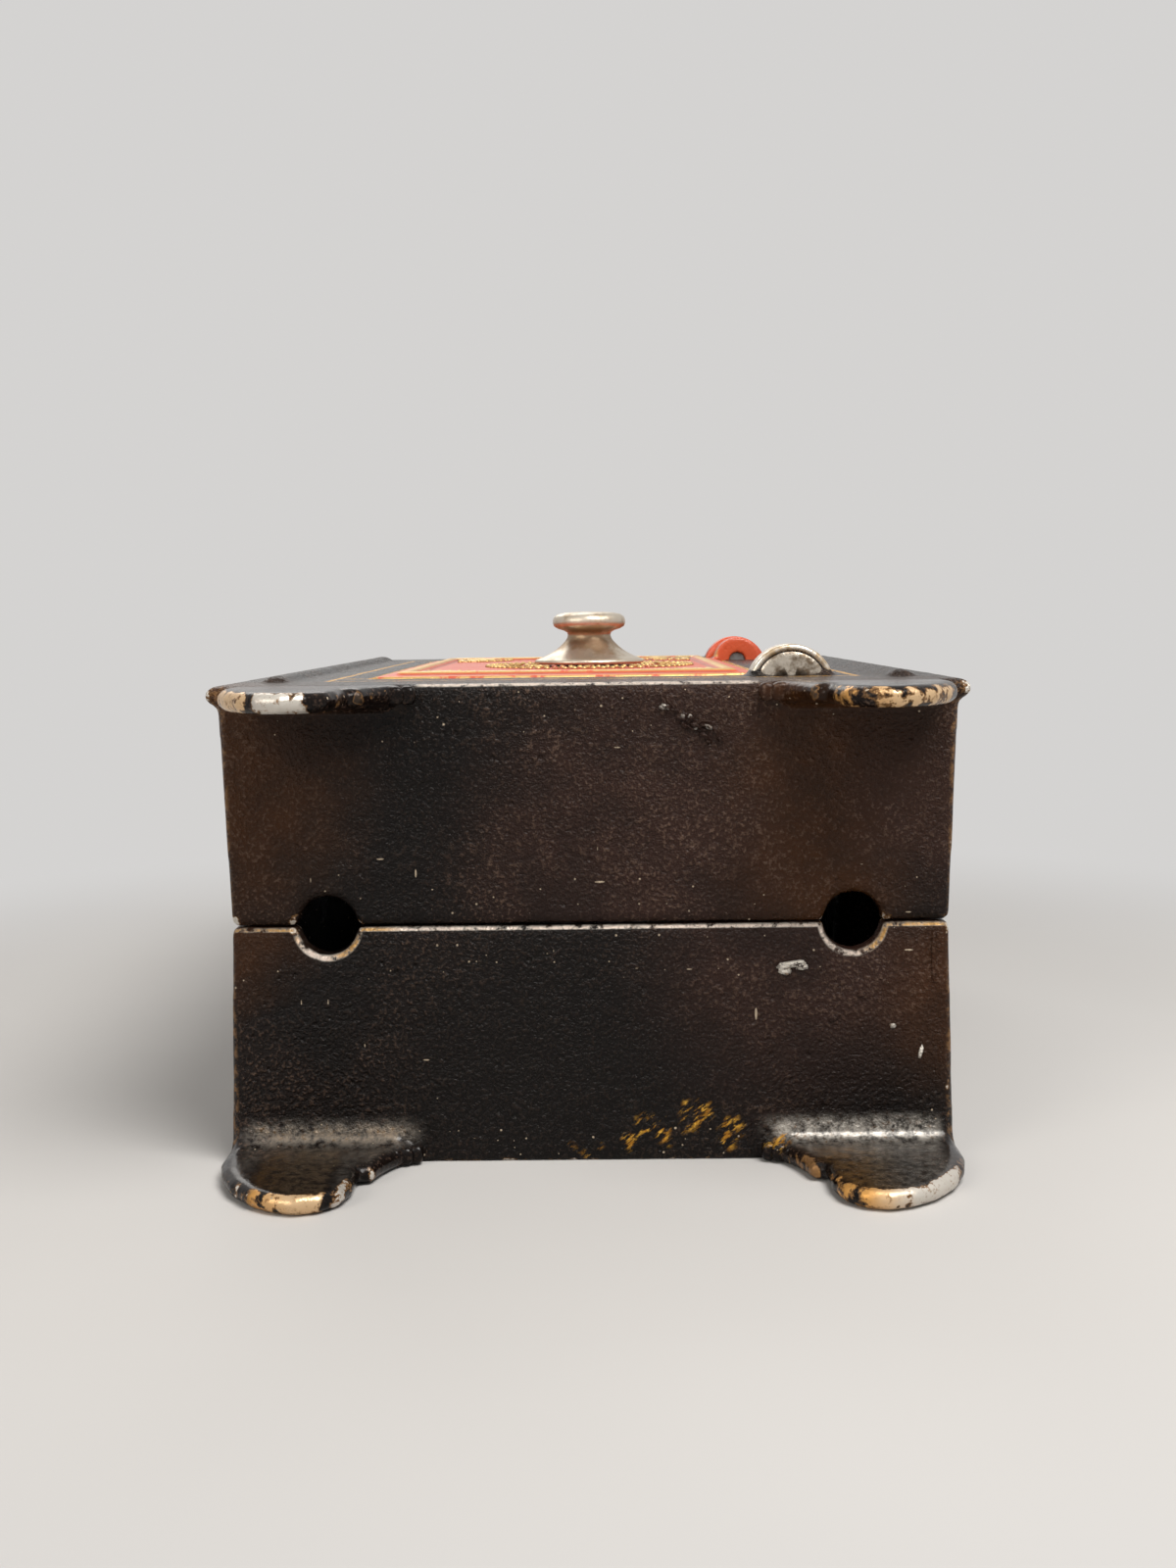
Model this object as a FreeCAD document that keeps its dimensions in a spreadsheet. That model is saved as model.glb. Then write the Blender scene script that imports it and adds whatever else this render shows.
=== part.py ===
import FreeCAD, Part
import math
import os
import Sketcher
from FreeCAD import Vector

# Toy safe money box in cast iron, lying on its back with the door up.
# X runs across the safe, Y from its feet to its top, Z from its back to its front.
# Lengths are in millimetres and the origin is under the middle of the whole safe.

doc = FreeCAD.newDocument("ToySafe")
sheet = doc.addObject("Spreadsheet::Sheet", "Sizes")

SIZES = {
    # case: two half boxes, each a plate with feet and four drafted walls
    "body_width": 81.0,
    "body_height": 110.8,
    "body_depth": 53.5,
    "plate_lip": 1.2,
    "plate_thickness": 2.3,
    "plate_edge_bevel": 0.7,
    "wall_thickness": 2.8,
    "wall_draft": 1.7,
    "wall_corner_bevel": 0.8,
    "seam_edge_bevel": 0.5,
    "bead_radius": 2.0,
    "bead_height": 0.8,
    "bead_inset": 6.0,
    "bead_end_margin": 9.0,
    # feet: flat scalloped lobes in the plane of each plate
    "foot_length": 16.8,
    "foot_setback": 1.5,
    "foot_shoulder": 5.0,
    "foot_lobe_inset": 10.1,
    "foot_heel_radius": 5.4,
    "foot_step": 1.6,
    "foot_step_drop": 7.6,
    "foot_tail_reach": 4.5,
    "foot_tail_radius": 13.0,
    "foot_root_radius": 2.2,
    "foot_root_margin": 2.4,
    # openings on the seam: two round holes in the underside and a coin slot in the top
    "base_hole_radius": 3.2,
    "base_hole_inset": 11.4,
    "coin_slot_length": 34.0,
    "coin_slot_width": 4.8,
    # long screws that hold the halves together
    "post_radius": 3.6,
    "post_inset": 3.4,
    "post_left_height": 84.0,
    "post_right_height": 26.0,
    "screw_radius": 1.5,
    "screw_thread_depth": 11.0,
    "screw_head_radius": 3.1,
    "screw_head_height": 1.8,
    "screw_head_sink": 0.2,
    "screw_slot_width": 0.8,
    "screw_slot_depth": 0.7,
    "screw_clearance": 0.15,
    # door and the rebate that it shuts against
    "door_height": 72.0,
    "door_bottom_rail": 18.0,
    "free_stile": 14.9,
    "hinge_stile": 20.1,
    "door_proud": 0.2,
    "door_gap": 0.4,
    "door_edge_radius": 0.4,
    "rebate_gap": 0.3,
    "rebate_lap": 1.4,
    "rebate_margin": 5.0,
    "rebate_thickness": 2.0,
    "frame_bead_inset": 2.4,
    "frame_bead_width": 1.4,
    "relief_height": 0.5,
    # hinge: lugs on the case outside, knuckles on the door inside
    "hinge_inset": 16.7,
    "hinge_rise": -0.2,
    "knuckle_radius": 3.7,
    "knuckle_length": 4.4,
    "lug_radius": 5.1,
    "lug_drop": 1.45,
    "lug_length": 4.0,
    "lug_rim": 1.0,
    "lug_recess": 0.5,
    "hinge_pin_radius": 1.25,
    "hinge_pin_grip": 2.6,
    "hinge_pin_setback": 1.2,
    "press_clearance": 0.02,
    "running_clearance": 0.06,
    # knob, spindle and wheel pack of the lock
    "knob_top_radius": 5.15,
    "knob_top_thickness": 2.3,
    "knob_top_bevel": 0.8,
    "knob_neck_radius": 3.0,
    "knob_base_radius": 7.8,
    "knob_rim_thickness": 0.6,
    "knob_height": 7.3,
    "knob_clearance": 0.3,
    "spindle_radius": 2.0,
    "spindle_socket": 4.5,
    "spindle_end": 0.8,
    "boss_radius": 5.0,
    "axial_play": 0.1,
    "wheel_radius": 13.0,
    "wheel_thickness": 2.0,
    "wheel_gate_floor": 6.0,
    "wheel_gate_side_gap": 0.6,
    "driver_clearance": 0.3,
    "wheel_spacer_thickness": 1.6,
    "spacer_radius": 4.2,
    "peg_radius": 1.0,
    "peg_circle_radius": 9.4,
    "peg_reach": 1.3,
    "peg_gap": 0.25,
    "end_washer_thickness": 0.8,
    "nut_across_flats": 5.6,
    "nut_thickness": 2.6,
    # keeper: flat steel finger over the wheel rims
    "keeper_thickness": 1.5,
    "keeper_base_length": 16.0,
    "keeper_base_width": 5.4,
    "keeper_root_width": 8.0,
    "keeper_finger_width": 4.0,
    "keeper_tip_lap": 2.5,
    "keeper_shoulder_margin": 5.0,
    "keeper_wheel_gap": 0.6,
    "keeper_screw_radius": 1.2,
    "keeper_screw_spacing": 11.0,
    "keeper_screw_grip": 3.0,
    "keeper_head_radius": 2.2,
    "keeper_head_height": 1.3,
}
for row, (alias, number) in enumerate(SIZES.items(), start=1):
    sheet.set(f"A{row}", alias.replace("_", " "))
    sheet.set(f"B{row}", str(number))
    sheet.setAlias(f"B{row}", alias)
doc.recompute()


class Length:
    """A sum of named sizes: its expression drives a feature, its value places the first sketch."""

    def __init__(self, parts):
        self.parts = parts

    def __add__(self, other):
        names = list(self.parts) + [name for name in other.parts if name not in self.parts]
        return Length({name: self.parts.get(name, 0) + other.parts.get(name, 0) for name in names})

    def __mul__(self, factor):
        return Length({name: share * factor for name, share in self.parts.items()})

    def __neg__(self):
        return self * -1

    def __sub__(self, other):
        return self + -other

    def __truediv__(self, divisor):
        return self * (1 / divisor)

    @property
    def value(self):
        return sum(share * float(sheet.get(name)) for name, share in self.parts.items())

    @property
    def text(self):
        return " + ".join(f"({share!r}) * Sizes.{name}" for name, share in self.parts.items())


def size(name):
    return Length({name: 1})


ZERO = size("body_width") * 0

# Places that several pieces share
underside = (size("foot_length") - size("body_height")) / 2
top_edge = underside + size("body_height")
wall_top = top_edge - size("plate_lip")
front = size("body_depth")
seam = front / 2
plate_back = front - size("plate_thickness")
half_body = size("body_width") / 2
half_plate = half_body + size("plate_lip")
door_bottom = underside + size("door_bottom_rail")
door_top = door_bottom + size("door_height")
door_front = front + size("door_proud")
door_back = plate_back + size("rebate_gap")
door_middle = door_bottom + size("door_height") / 2
door_left = size("free_stile") - half_body
door_right = half_body - size("hinge_stile")
opening_left = door_left - size("door_gap")
opening_right = door_right + size("door_gap")
opening_bottom = door_bottom - size("door_gap")
opening_top = door_top + size("door_gap")
hinge_x = half_body - size("hinge_inset")
hinge_z = front + size("hinge_rise")
post_x = half_body - size("wall_thickness") - size("post_inset")
post_places = (
    ("left", -post_x, underside + size("post_left_height")),
    ("right", post_x, underside + size("post_right_height")),
)
rebate_back = plate_back - size("rebate_thickness")
keeper_back = rebate_back - size("keeper_thickness")
driver_front = keeper_back - size("keeper_wheel_gap")
driver_back = driver_front - size("wheel_thickness")
boss_end = driver_front + size("driver_clearance")
middle_spacer_back = driver_back - size("wheel_spacer_thickness")
middle_front = middle_spacer_back - size("axial_play")
middle_back = middle_front - size("wheel_thickness")
rear_spacer_front = middle_back - size("axial_play")
rear_spacer_back = rear_spacer_front - size("wheel_spacer_thickness")
rear_front = rear_spacer_back - size("axial_play")
rear_back = rear_front - size("wheel_thickness")
end_washer_front = rear_back - size("axial_play")
end_washer_back = end_washer_front - size("end_washer_thickness")
nut_back = end_washer_back - size("nut_thickness")
knob_seat = door_front + size("knob_clearance")
keeper_tip = size("wheel_radius") - size("keeper_tip_lap")
keeper_screw_x = opening_left - size("rebate_margin") / 2


def new_body(label):
    body = doc.addObject("PartDesign::Body", label)
    body.Label = label
    return body


def place(piece, x=ZERO, y=ZERO, z=ZERO):
    """Puts a whole piece where it belongs in the safe."""
    for axis, length in (("x", x), ("y", y), ("z", z)):
        piece.setExpression(f"Placement.Base.{axis}", length.text)
    return piece


def plane_sketch(body, name, role, offset):
    """An empty sketch on one of the body's own planes, moved along that plane's normal."""
    sketch = body.newObject("Sketcher::SketchObject", name)
    plane = next(item for item in body.Origin.OriginFeatures if item.Role == role)
    sketch.AttachmentSupport = (plane, "")
    sketch.MapMode = "FlatFace"
    along = -offset if role == "XZ_Plane" else offset
    sketch.setExpression("AttachmentOffset.Base.z", along.text)
    return sketch


def fix_point(sketch, geometry, corner, place_x, place_y):
    for kind, length in (("DistanceX", place_x), ("DistanceY", place_y)):
        index = sketch.addConstraint(Sketcher.Constraint(kind, -1, 1, geometry, corner, length.value))
        sketch.setExpression(f"Constraints[{index}]", length.text)


def fix_radius(sketch, geometry, radius):
    index = sketch.addConstraint(Sketcher.Constraint("Radius", geometry, radius.value))
    sketch.setExpression(f"Constraints[{index}]", radius.text)


def draw_circle(sketch, x, y, radius):
    circle = Part.Circle(Vector(x.value, y.value, 0), Vector(0, 0, 1), radius.value)
    geometry = sketch.addGeometry(circle)
    fix_point(sketch, geometry, 3, x, y)
    fix_radius(sketch, geometry, radius)


def arc_through(start, end, radius, turn):
    """The arc of up to half a circle from start to end; turn is 1 to the left, -1 to the right."""
    middle = (start + end) / 2
    chord = end - start
    rise = math.sqrt(max(radius**2 - (chord.Length / 2) ** 2, 0))
    across = Vector(-chord.y, chord.x, 0).normalize()
    centre = middle + across * (rise * turn)
    first, last = (start, end) if turn > 0 else (end, start)
    angles = [math.atan2(point.y - centre.y, point.x - centre.x) for point in (first, last)]
    return Part.ArcOfCircle(Part.Circle(centre, Vector(0, 0, 1), radius), *angles)


def draw_outline(sketch, corners):
    """A closed outline. Each corner is (x, y), or (x, y, radius, turn) where an arc leaves it."""
    points = [Vector(corner[0].value, corner[1].value, 0) for corner in corners]
    count = len(corners)
    ends = []
    for index, corner in enumerate(corners):
        start, end = points[index], points[(index + 1) % count]
        if len(corner) == 2:
            geometry = sketch.addGeometry(Part.LineSegment(start, end))
            ends.append((geometry, 1, 2))
            continue
        radius, turn = corner[2:]
        geometry = sketch.addGeometry(arc_through(start, end, radius.value, turn))
        ends.append((geometry, 1, 2) if turn > 0 else (geometry, 2, 1))
    for index, (geometry, begin, finish) in enumerate(ends):
        following, next_begin, _ = ends[(index + 1) % count]
        sketch.addConstraint(Sketcher.Constraint("Coincident", geometry, finish, following, next_begin))
        fix_point(sketch, geometry, begin, *corners[index][:2])
    for index, corner in enumerate(corners):
        if len(corner) > 2:
            fix_radius(sketch, ends[index][0], corner[2])


def segment_sketch(body, name, offset, centre_x, centre_z, radius, chord_z):
    """The part of a circle above a chord, standing across the safe."""
    sketch = plane_sketch(body, name, "XZ_Plane", offset)
    rise = chord_z.value - centre_z.value
    half = math.sqrt(radius.value**2 - rise**2)
    left = Vector(centre_x.value - half, chord_z.value, 0)
    right = Vector(centre_x.value + half, chord_z.value, 0)
    chord = sketch.addGeometry(Part.LineSegment(left, right))
    circle = Part.Circle(Vector(centre_x.value, centre_z.value, 0), Vector(0, 0, 1), radius.value)
    angle = math.asin(rise / radius.value)
    arc = sketch.addGeometry(Part.ArcOfCircle(circle, angle, math.pi - angle))
    sketch.addConstraint(Sketcher.Constraint("Coincident", chord, 2, arc, 1))
    sketch.addConstraint(Sketcher.Constraint("Coincident", arc, 2, chord, 1))
    sketch.addConstraint(Sketcher.Constraint("Horizontal", chord))
    fix_point(sketch, arc, 3, centre_x, centre_z)
    fix_radius(sketch, arc, radius)
    level = sketch.addConstraint(Sketcher.Constraint("DistanceY", -1, 1, chord, 1, chord_z.value))
    sketch.setExpression(f"Constraints[{level}]", chord_z.text)
    return sketch


def box_corners(left, right, low, high):
    return [(left, low), (right, low), (right, high), (left, high)]


def bevelled_box_corners(left, right, low, high, bevel):
    """The outline of a box whose four corners are cut off."""
    return [
        (left + bevel, low),
        (right - bevel, low),
        (right, low + bevel),
        (right, high - bevel),
        (right - bevel, high),
        (left + bevel, high),
        (left, high - bevel),
        (left, low + bevel),
    ]


def outline_sketch(body, name, role, offset, *outlines):
    sketch = plane_sketch(body, name, role, offset)
    for outline in outlines:
        draw_outline(sketch, outline)
    return sketch


def circle_sketch(body, name, role, offset, *circles):
    sketch = plane_sketch(body, name, role, offset)
    for circle in circles:
        draw_circle(sketch, *circle)
    return sketch


def extrude(body, kind, sketch, length, backward=False, draft=None):
    """A Pad or Pocket of a sketch; a Pocket has to take material away and a Pad has to add some."""
    before = body.Shape.Volume if body.Tip else 0
    feature = body.newObject(f"PartDesign::{kind}", f"{sketch.Name}_{kind}")
    feature.Profile = sketch
    feature.setExpression("Length", length.text)
    feature.Reversed = backward
    if draft:
        feature.setExpression("TaperAngle", draft)
    doc.recompute()
    gained = feature.Shape.Volume - before
    if (gained > 0) != (kind == "Pad"):
        raise RuntimeError(f"{feature.Name} changed the volume of {body.Label} by {gained}")
    return feature


def soften(body, name, kind, radius, wanted):
    """A Fillet or Chamfer on the edges of the body's last feature that the test wants."""
    base = body.Tip
    names = [f"Edge{i}" for i, edge in enumerate(base.Shape.Edges, start=1) if wanted(edge)]
    feature = body.newObject(f"PartDesign::{kind}", name)
    feature.Base = (base, names)
    feature.setExpression("Radius" if kind == "Fillet" else "Size", radius.text)
    doc.recompute()
    return feature


def near(number, target):
    return abs(number - target) < 1e-4


def edge_lies_at(edge, axis, level):
    """True if the whole edge lies at one level of an axis, such as z."""
    box = edge.BoundBox
    low, high = {"x": (box.XMin, box.XMax), "y": (box.YMin, box.YMax), "z": (box.ZMin, box.ZMax)}[axis]
    return near(low, level) and near(high, level)


def foot_corners(side, is_front):
    """The scalloped edge of one foot, from left to right; side is -1 for the left foot or 1."""
    toe_x = half_body - size("foot_setback") if is_front else half_body
    lobe_x = half_body - size("foot_lobe_inset")
    heel = size("foot_heel_radius")
    heel_x = lobe_x - heel
    step_x = heel_x - size("foot_step")
    sole = underside - size("foot_length")
    step_y = underside - size("foot_step_drop")
    shoulder_y = underside - size("foot_shoulder")
    # the lobe is filed to short flats: shares of the way across from its middle and up from the sole
    toe_flats = ((1, 1), (0.93, 0.75), (0.77, 0.47), (0.53, 0.22), (0.27, 0.07))
    heel_flats = ((0, 0), (0.5, 0.134), (0.866, 0.5), (1, 1))
    toe = [(lobe_x + (toe_x - lobe_x) * out, sole + (shoulder_y - sole) * up) for out, up in toe_flats]
    lobe = toe + [(lobe_x - heel * back, sole + heel * up) for back, up in heel_flats]
    tail_x = step_x - size("foot_tail_reach")
    edge = [(toe_x, underside), *lobe, (heel_x, step_y), (step_x, step_y), (tail_x, underside)]
    tail_arc = (size("foot_tail_radius"), -1)
    if side < 0:
        walked = [(-place_x, place_y) for place_x, place_y in edge]
        walked[-2] += tail_arc
    else:
        walked = edge[::-1]
        walked[0] += tail_arc
    return walked


def add_front_plate(body):
    """Plate with a lip all round and two feet. The edge that the lower wall stands on stays square."""
    plate = outline_sketch(
        body, "front_plate", "XY_Plane", plate_back,
        [
            (-half_plate, top_edge),
            (-half_plate, underside),
            *foot_corners(-1, True),
            *foot_corners(1, True),
            (half_plate, underside),
            (half_plate, top_edge),
        ],
    )
    extrude(body, "Pad", plate, size("plate_thickness"))
    tail_x = foot_corners(1, True)[0][0].value

    def rim_edge(edge):
        box = edge.BoundBox
        between_feet = edge_lies_at(edge, "y", underside.value) and max(-box.XMin, box.XMax) < tail_x + 0.01
        at_back = edge_lies_at(edge, "z", plate_back.value)
        return edge_lies_at(edge, "z", front.value) or (at_back and not between_feet)

    soften(body, "front_plate_rim", "Chamfer", size("plate_edge_bevel"), rim_edge)


def add_rear_plate(body):
    """Plate flush with its walls. The feet come first, so that their bevels run out inside the plate."""
    inside = size("plate_thickness")
    strip = underside + size("wall_thickness")
    feet = outline_sketch(
        body, "rear_feet", "XY_Plane", ZERO,
        [
            (-half_body, strip),
            *foot_corners(-1, False)[1:],
            *foot_corners(1, False)[:-1],
            (half_body, strip),
        ],
    )
    extrude(body, "Pad", feet, inside)
    soften(
        body, "rear_feet_rim", "Chamfer", size("plate_edge_bevel"),
        lambda edge: near(edge.BoundBox.ZLength, 0) and edge.BoundBox.YMin < underside.value - 0.01,
    )
    plate = outline_sketch(
        body, "rear_plate", "XY_Plane", ZERO, box_corners(-half_body, half_body, underside, wall_top)
    )
    extrude(body, "Pad", plate, inside)
    soften(
        body, "rear_plate_rim", "Chamfer", size("seam_edge_bevel"),
        lambda edge: edge_lies_at(edge, "z", 0) and edge.BoundBox.YMax > underside.value + 1,
    )


def half_case(label, is_front):
    """One half box: plate with feet, drafted walls, and its half of each opening on the seam."""
    body = new_body(label)
    if is_front:
        add_front_plate(body)
    else:
        add_rear_plate(body)
    plate_inside = plate_back if is_front else size("plate_thickness")
    inward = -1 if is_front else 1
    wall_length = seam - size("plate_thickness")
    draft = "-Sizes.wall_draft"

    walls = outline_sketch(
        body, label + "_walls", "XY_Plane", plate_inside,
        bevelled_box_corners(-half_body, half_body, underside, wall_top, size("wall_corner_bevel")),
    )
    extrude(body, "Pad", walls, wall_length, backward=is_front, draft=draft)

    wall = size("wall_thickness")
    inner = half_body - wall
    cavity = outline_sketch(
        body, label + "_cavity", "XY_Plane", plate_inside,
        box_corners(-inner, inner, underside + wall, wall_top - wall),
    )
    extrude(body, "Pocket", cavity, wall_length, backward=not is_front, draft=draft)

    foot = foot_corners(-1, is_front)
    root_radius = size("foot_root_radius")
    root_outer = foot[0][0] + size("wall_corner_bevel")
    root_inner = foot[-1][0] - size("foot_root_margin")
    for name, start in (("left", root_outer), ("right", -root_inner)):
        cove = outline_sketch(
            body, f"{label}_foot_root_{name}", "YZ_Plane", start,
            [
                (underside + wall / 2, plate_inside),
                (underside + wall / 2, plate_inside + root_radius * inward),
                (underside, plate_inside + root_radius * inward, root_radius, -inward),
                (underside - root_radius, plate_inside),
            ],
        )
        extrude(body, "Pad", cove, root_inner - root_outer)

    hole_x = half_body - size("base_hole_inset")
    holes = circle_sketch(
        body, label + "_base_holes", "XZ_Plane", underside,
        *((hole_x * side, seam, size("base_hole_radius")) for side in (-1, 1)),
    )
    extrude(body, "Pocket", holes, wall * 2)

    slot_end, half_slot = size("coin_slot_length") / 2, size("coin_slot_width") / 2
    slot = outline_sketch(
        body, label + "_coin_slot", "XZ_Plane", wall_top,
        box_corners(-slot_end, slot_end, seam - half_slot, seam + half_slot),
    )
    extrude(body, "Pocket", slot, wall * 2, backward=True)

    taper = wall_length.value * math.tan(math.radians(SIZES["wall_draft"]))
    outer_x, outer_low, outer_high = half_body.value - taper, underside.value + taper, wall_top.value - taper

    def seam_edge(edge):
        middle = edge.CenterOfMass
        outside = max(abs(middle.x) - outer_x, outer_low - middle.y, middle.y - outer_high)
        at_hole = middle.y < outer_low and near(edge.BoundBox.XLength, 2 * size("base_hole_radius").value)
        return at_hole or (edge_lies_at(edge, "z", seam.value) and outside > -wall.value / 2)

    soften(body, label + "_seam", "Chamfer", size("seam_edge_bevel"), seam_edge)
    return body


def make_front_casting():
    body = half_case("front_casting", True)

    for name, place_x, place_y in post_places:
        post = circle_sketch(
            body, f"front_post_{name}", "XY_Plane", plate_back, (place_x, place_y, size("post_radius"))
        )
        extrude(body, "Pad", post, plate_back - seam, backward=True)
        hole = circle_sketch(
            body, f"front_thread_{name}", "XY_Plane", seam, (place_x, place_y, size("screw_radius"))
        )
        extrude(body, "Pocket", hole, size("screw_thread_depth") + size("screw_clearance"), backward=True)

    opening = outline_sketch(
        body, "door_opening", "XY_Plane", front,
        box_corners(opening_left, opening_right, opening_bottom, opening_top),
    )
    extrude(body, "Pocket", opening, size("plate_thickness"))

    lap, margin = size("rebate_lap"), size("rebate_margin")
    rebate = outline_sketch(
        body, "rebate", "XY_Plane", plate_back,
        [
            (opening_left - margin, opening_bottom - margin),
            (door_right, opening_bottom - margin),
            (door_right, opening_bottom + lap),
            (opening_left + lap, opening_bottom + lap),
            (opening_left + lap, opening_top - lap),
            (door_right, opening_top - lap),
            (door_right, opening_top + margin),
            (opening_left - margin, opening_top + margin),
        ],
    )
    extrude(body, "Pad", rebate, size("rebate_thickness"), backward=True)

    notch_right = hinge_x + size("knuckle_radius") + size("door_gap")
    notch_length = size("knuckle_length") + size("door_gap") * 2
    notches = outline_sketch(
        body, "knuckle_notches", "XY_Plane", front,
        box_corners(opening_right, notch_right, opening_bottom, opening_bottom + notch_length),
        box_corners(opening_right, notch_right, opening_top - notch_length, opening_top),
    )
    extrude(body, "Pocket", notches, size("plate_thickness"))

    half_spacing = size("keeper_screw_spacing") / 2
    keeper_holes = circle_sketch(
        body, "keeper_holes", "XY_Plane", rebate_back,
        (keeper_screw_x, door_middle - half_spacing, size("keeper_screw_radius")),
        (keeper_screw_x, door_middle + half_spacing, size("keeper_screw_radius")),
    )
    extrude(body, "Pocket", keeper_holes, size("keeper_screw_grip") + size("screw_clearance"), backward=True)

    lug_z = front - size("lug_drop")
    lug_radius = size("lug_radius")
    for name, inner_face, outward in (("lower", opening_bottom, -1), ("upper", opening_top, 1)):
        outer_face = inner_face + size("lug_length") * outward
        seat = front - size("plate_thickness") / 2
        lug = segment_sketch(body, f"lug_{name}", inner_face, hinge_x, lug_z, lug_radius, seat)
        extrude(body, "Pad", lug, size("lug_length"), backward=outward > 0)
        recess = segment_sketch(
            body, f"lug_{name}_recess", outer_face, hinge_x, lug_z, lug_radius - size("lug_rim"), front
        )
        extrude(body, "Pocket", recess, size("lug_recess"), backward=outward > 0)
        pin_hole = circle_sketch(
            body, f"lug_{name}_hole", "XZ_Plane", inner_face,
            (hinge_x, hinge_z, size("hinge_pin_radius") + size("press_clearance")),
        )
        extrude(body, "Pocket", pin_hole, size("hinge_pin_grip") + size("axial_play"), backward=outward < 0)

    bead_z = front + size("bead_height") - size("bead_radius")
    bead_start = underside + size("bead_end_margin")
    bead_length = size("body_height") - size("bead_end_margin") * 2
    for name, side in (("left", -1), ("right", 1)):
        bead_x = (half_plate - size("bead_inset")) * side
        bead = segment_sketch(
            body, f"bead_{name}", bead_start, bead_x, bead_z, size("bead_radius"), front - size("bead_height")
        )
        extrude(body, "Pad", bead, bead_length, backward=True)
    return body


def make_rear_casting():
    body = half_case("rear_casting", False)
    inside = size("plate_thickness")
    hole_radius = size("screw_radius") + size("screw_clearance")
    for name, place_x, place_y in post_places:
        post = circle_sketch(
            body, f"rear_post_{name}", "XY_Plane", inside, (place_x, place_y, size("post_radius"))
        )
        extrude(body, "Pad", post, seam - inside)
        hole = circle_sketch(body, f"screw_hole_{name}", "XY_Plane", seam, (place_x, place_y, hole_radius))
        extrude(body, "Pocket", hole, seam)
        sink = circle_sketch(
            body, f"counterbore_{name}", "XY_Plane", ZERO,
            (place_x, place_y, size("screw_head_radius") + size("screw_clearance")),
        )
        extrude(body, "Pocket", sink, size("screw_head_height"), backward=True)
    return body


def revolve(body, sketch):
    """A full turn of a sketch about its own upright axis."""
    feature = body.newObject("PartDesign::Revolution", f"{sketch.Name}_Revolution")
    feature.Profile = sketch
    feature.ReferenceAxis = (sketch, ["V_Axis"])
    feature.Angle = 360
    doc.recompute()
    return feature


def group(label, members):
    """Like fasteners as one sub-part of separate solids."""
    compound = doc.addObject("Part::Compound", label)
    compound.Label = label
    compound.Links = members
    doc.recompute()
    return compound


def make_body_screws():
    """Two long slotted screws, from the back plate into the posts of the front casting."""
    screws = []
    for name, place_x, place_y in post_places:
        body = new_body(f"body_screw_{name}")
        shank, head = size("screw_radius"), size("screw_head_radius")
        section = outline_sketch(
            body, f"body_screw_section_{name}", "XZ_Plane", ZERO,
            [
                (ZERO, size("screw_head_sink")),
                (head, size("screw_head_sink")),
                (head, size("screw_head_height")),
                (shank, size("screw_head_height")),
                (shank, seam + size("screw_thread_depth")),
                (ZERO, seam + size("screw_thread_depth")),
            ],
        )
        revolve(body, section)
        half_slot = size("screw_slot_width") / 2
        slot = outline_sketch(
            body, f"body_screw_slot_{name}", "XY_Plane", ZERO, box_corners(-head, head, -half_slot, half_slot)
        )
        extrude(body, "Pocket", slot, size("screw_head_sink") + size("screw_slot_depth"), backward=True)
        screws.append(place(body, place_x, place_y))
    return group("body_screws", screws)


def make_hinge_pin(name, inner_face, inward):
    """A plain steel pin, pressed into the lug and running in the knuckle."""
    body = new_body(f"hinge_pin_{name}")
    start = inner_face - size("hinge_pin_grip") * inward
    section = circle_sketch(
        body, f"hinge_pin_{name}_section", "XZ_Plane", start, (hinge_x, hinge_z, size("hinge_pin_radius"))
    )
    reach = size("hinge_pin_grip") + size("door_gap") + size("knuckle_length") - size("hinge_pin_setback")
    extrude(body, "Pad", section, reach, backward=inward > 0)
    return body


def make_door():
    """The cast door: flat plate, hinge knuckles, raised border and a boss for the spindle."""
    body = new_body("door")
    plate = outline_sketch(
        body, "door_plate", "XY_Plane", door_back, box_corners(door_left, door_right, door_bottom, door_top)
    )
    extrude(body, "Pad", plate, door_front - door_back)
    soften(
        body, "door_edge", "Fillet", size("door_edge_radius"),
        lambda edge: edge_lies_at(edge, "z", door_front.value),
    )

    pin_room = size("hinge_pin_radius") + size("running_clearance")
    strap_root = door_right - size("knuckle_radius")
    for name, end_face, inward in (("lower", door_bottom, 1), ("upper", door_top, -1)):
        strap = outline_sketch(
            body, f"strap_{name}", "XZ_Plane", end_face,
            box_corners(strap_root, hinge_x, door_back, door_front),
        )
        extrude(body, "Pad", strap, size("knuckle_length"), backward=inward > 0)
        knuckle = circle_sketch(
            body, f"knuckle_{name}", "XZ_Plane", end_face, (hinge_x, hinge_z, size("knuckle_radius"))
        )
        extrude(body, "Pad", knuckle, size("knuckle_length"), backward=inward > 0)
        bore = circle_sketch(body, f"knuckle_{name}_bore", "XZ_Plane", end_face, (hinge_x, hinge_z, pin_room))
        extrude(body, "Pocket", bore, size("knuckle_length"), backward=inward < 0)

    outer = size("frame_bead_inset")
    inner = outer + size("frame_bead_width")
    border = outline_sketch(
        body, "door_border", "XY_Plane", door_front,
        box_corners(door_left + outer, door_right - outer, door_bottom + outer, door_top - outer),
        box_corners(door_left + inner, door_right - inner, door_bottom + inner, door_top - inner),
    )
    extrude(body, "Pad", border, size("relief_height"))
    boss_radius = size("boss_radius")
    boss = circle_sketch(body, "spindle_boss", "XY_Plane", door_back, (ZERO, door_middle, boss_radius))
    extrude(body, "Pad", boss, door_back - boss_end, backward=True)
    spindle_room = size("spindle_radius") + size("running_clearance")
    bore = circle_sketch(body, "spindle_bore", "XY_Plane", door_front, (ZERO, door_middle, spindle_room))
    extrude(body, "Pocket", bore, door_front - boss_end)
    return body


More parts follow.
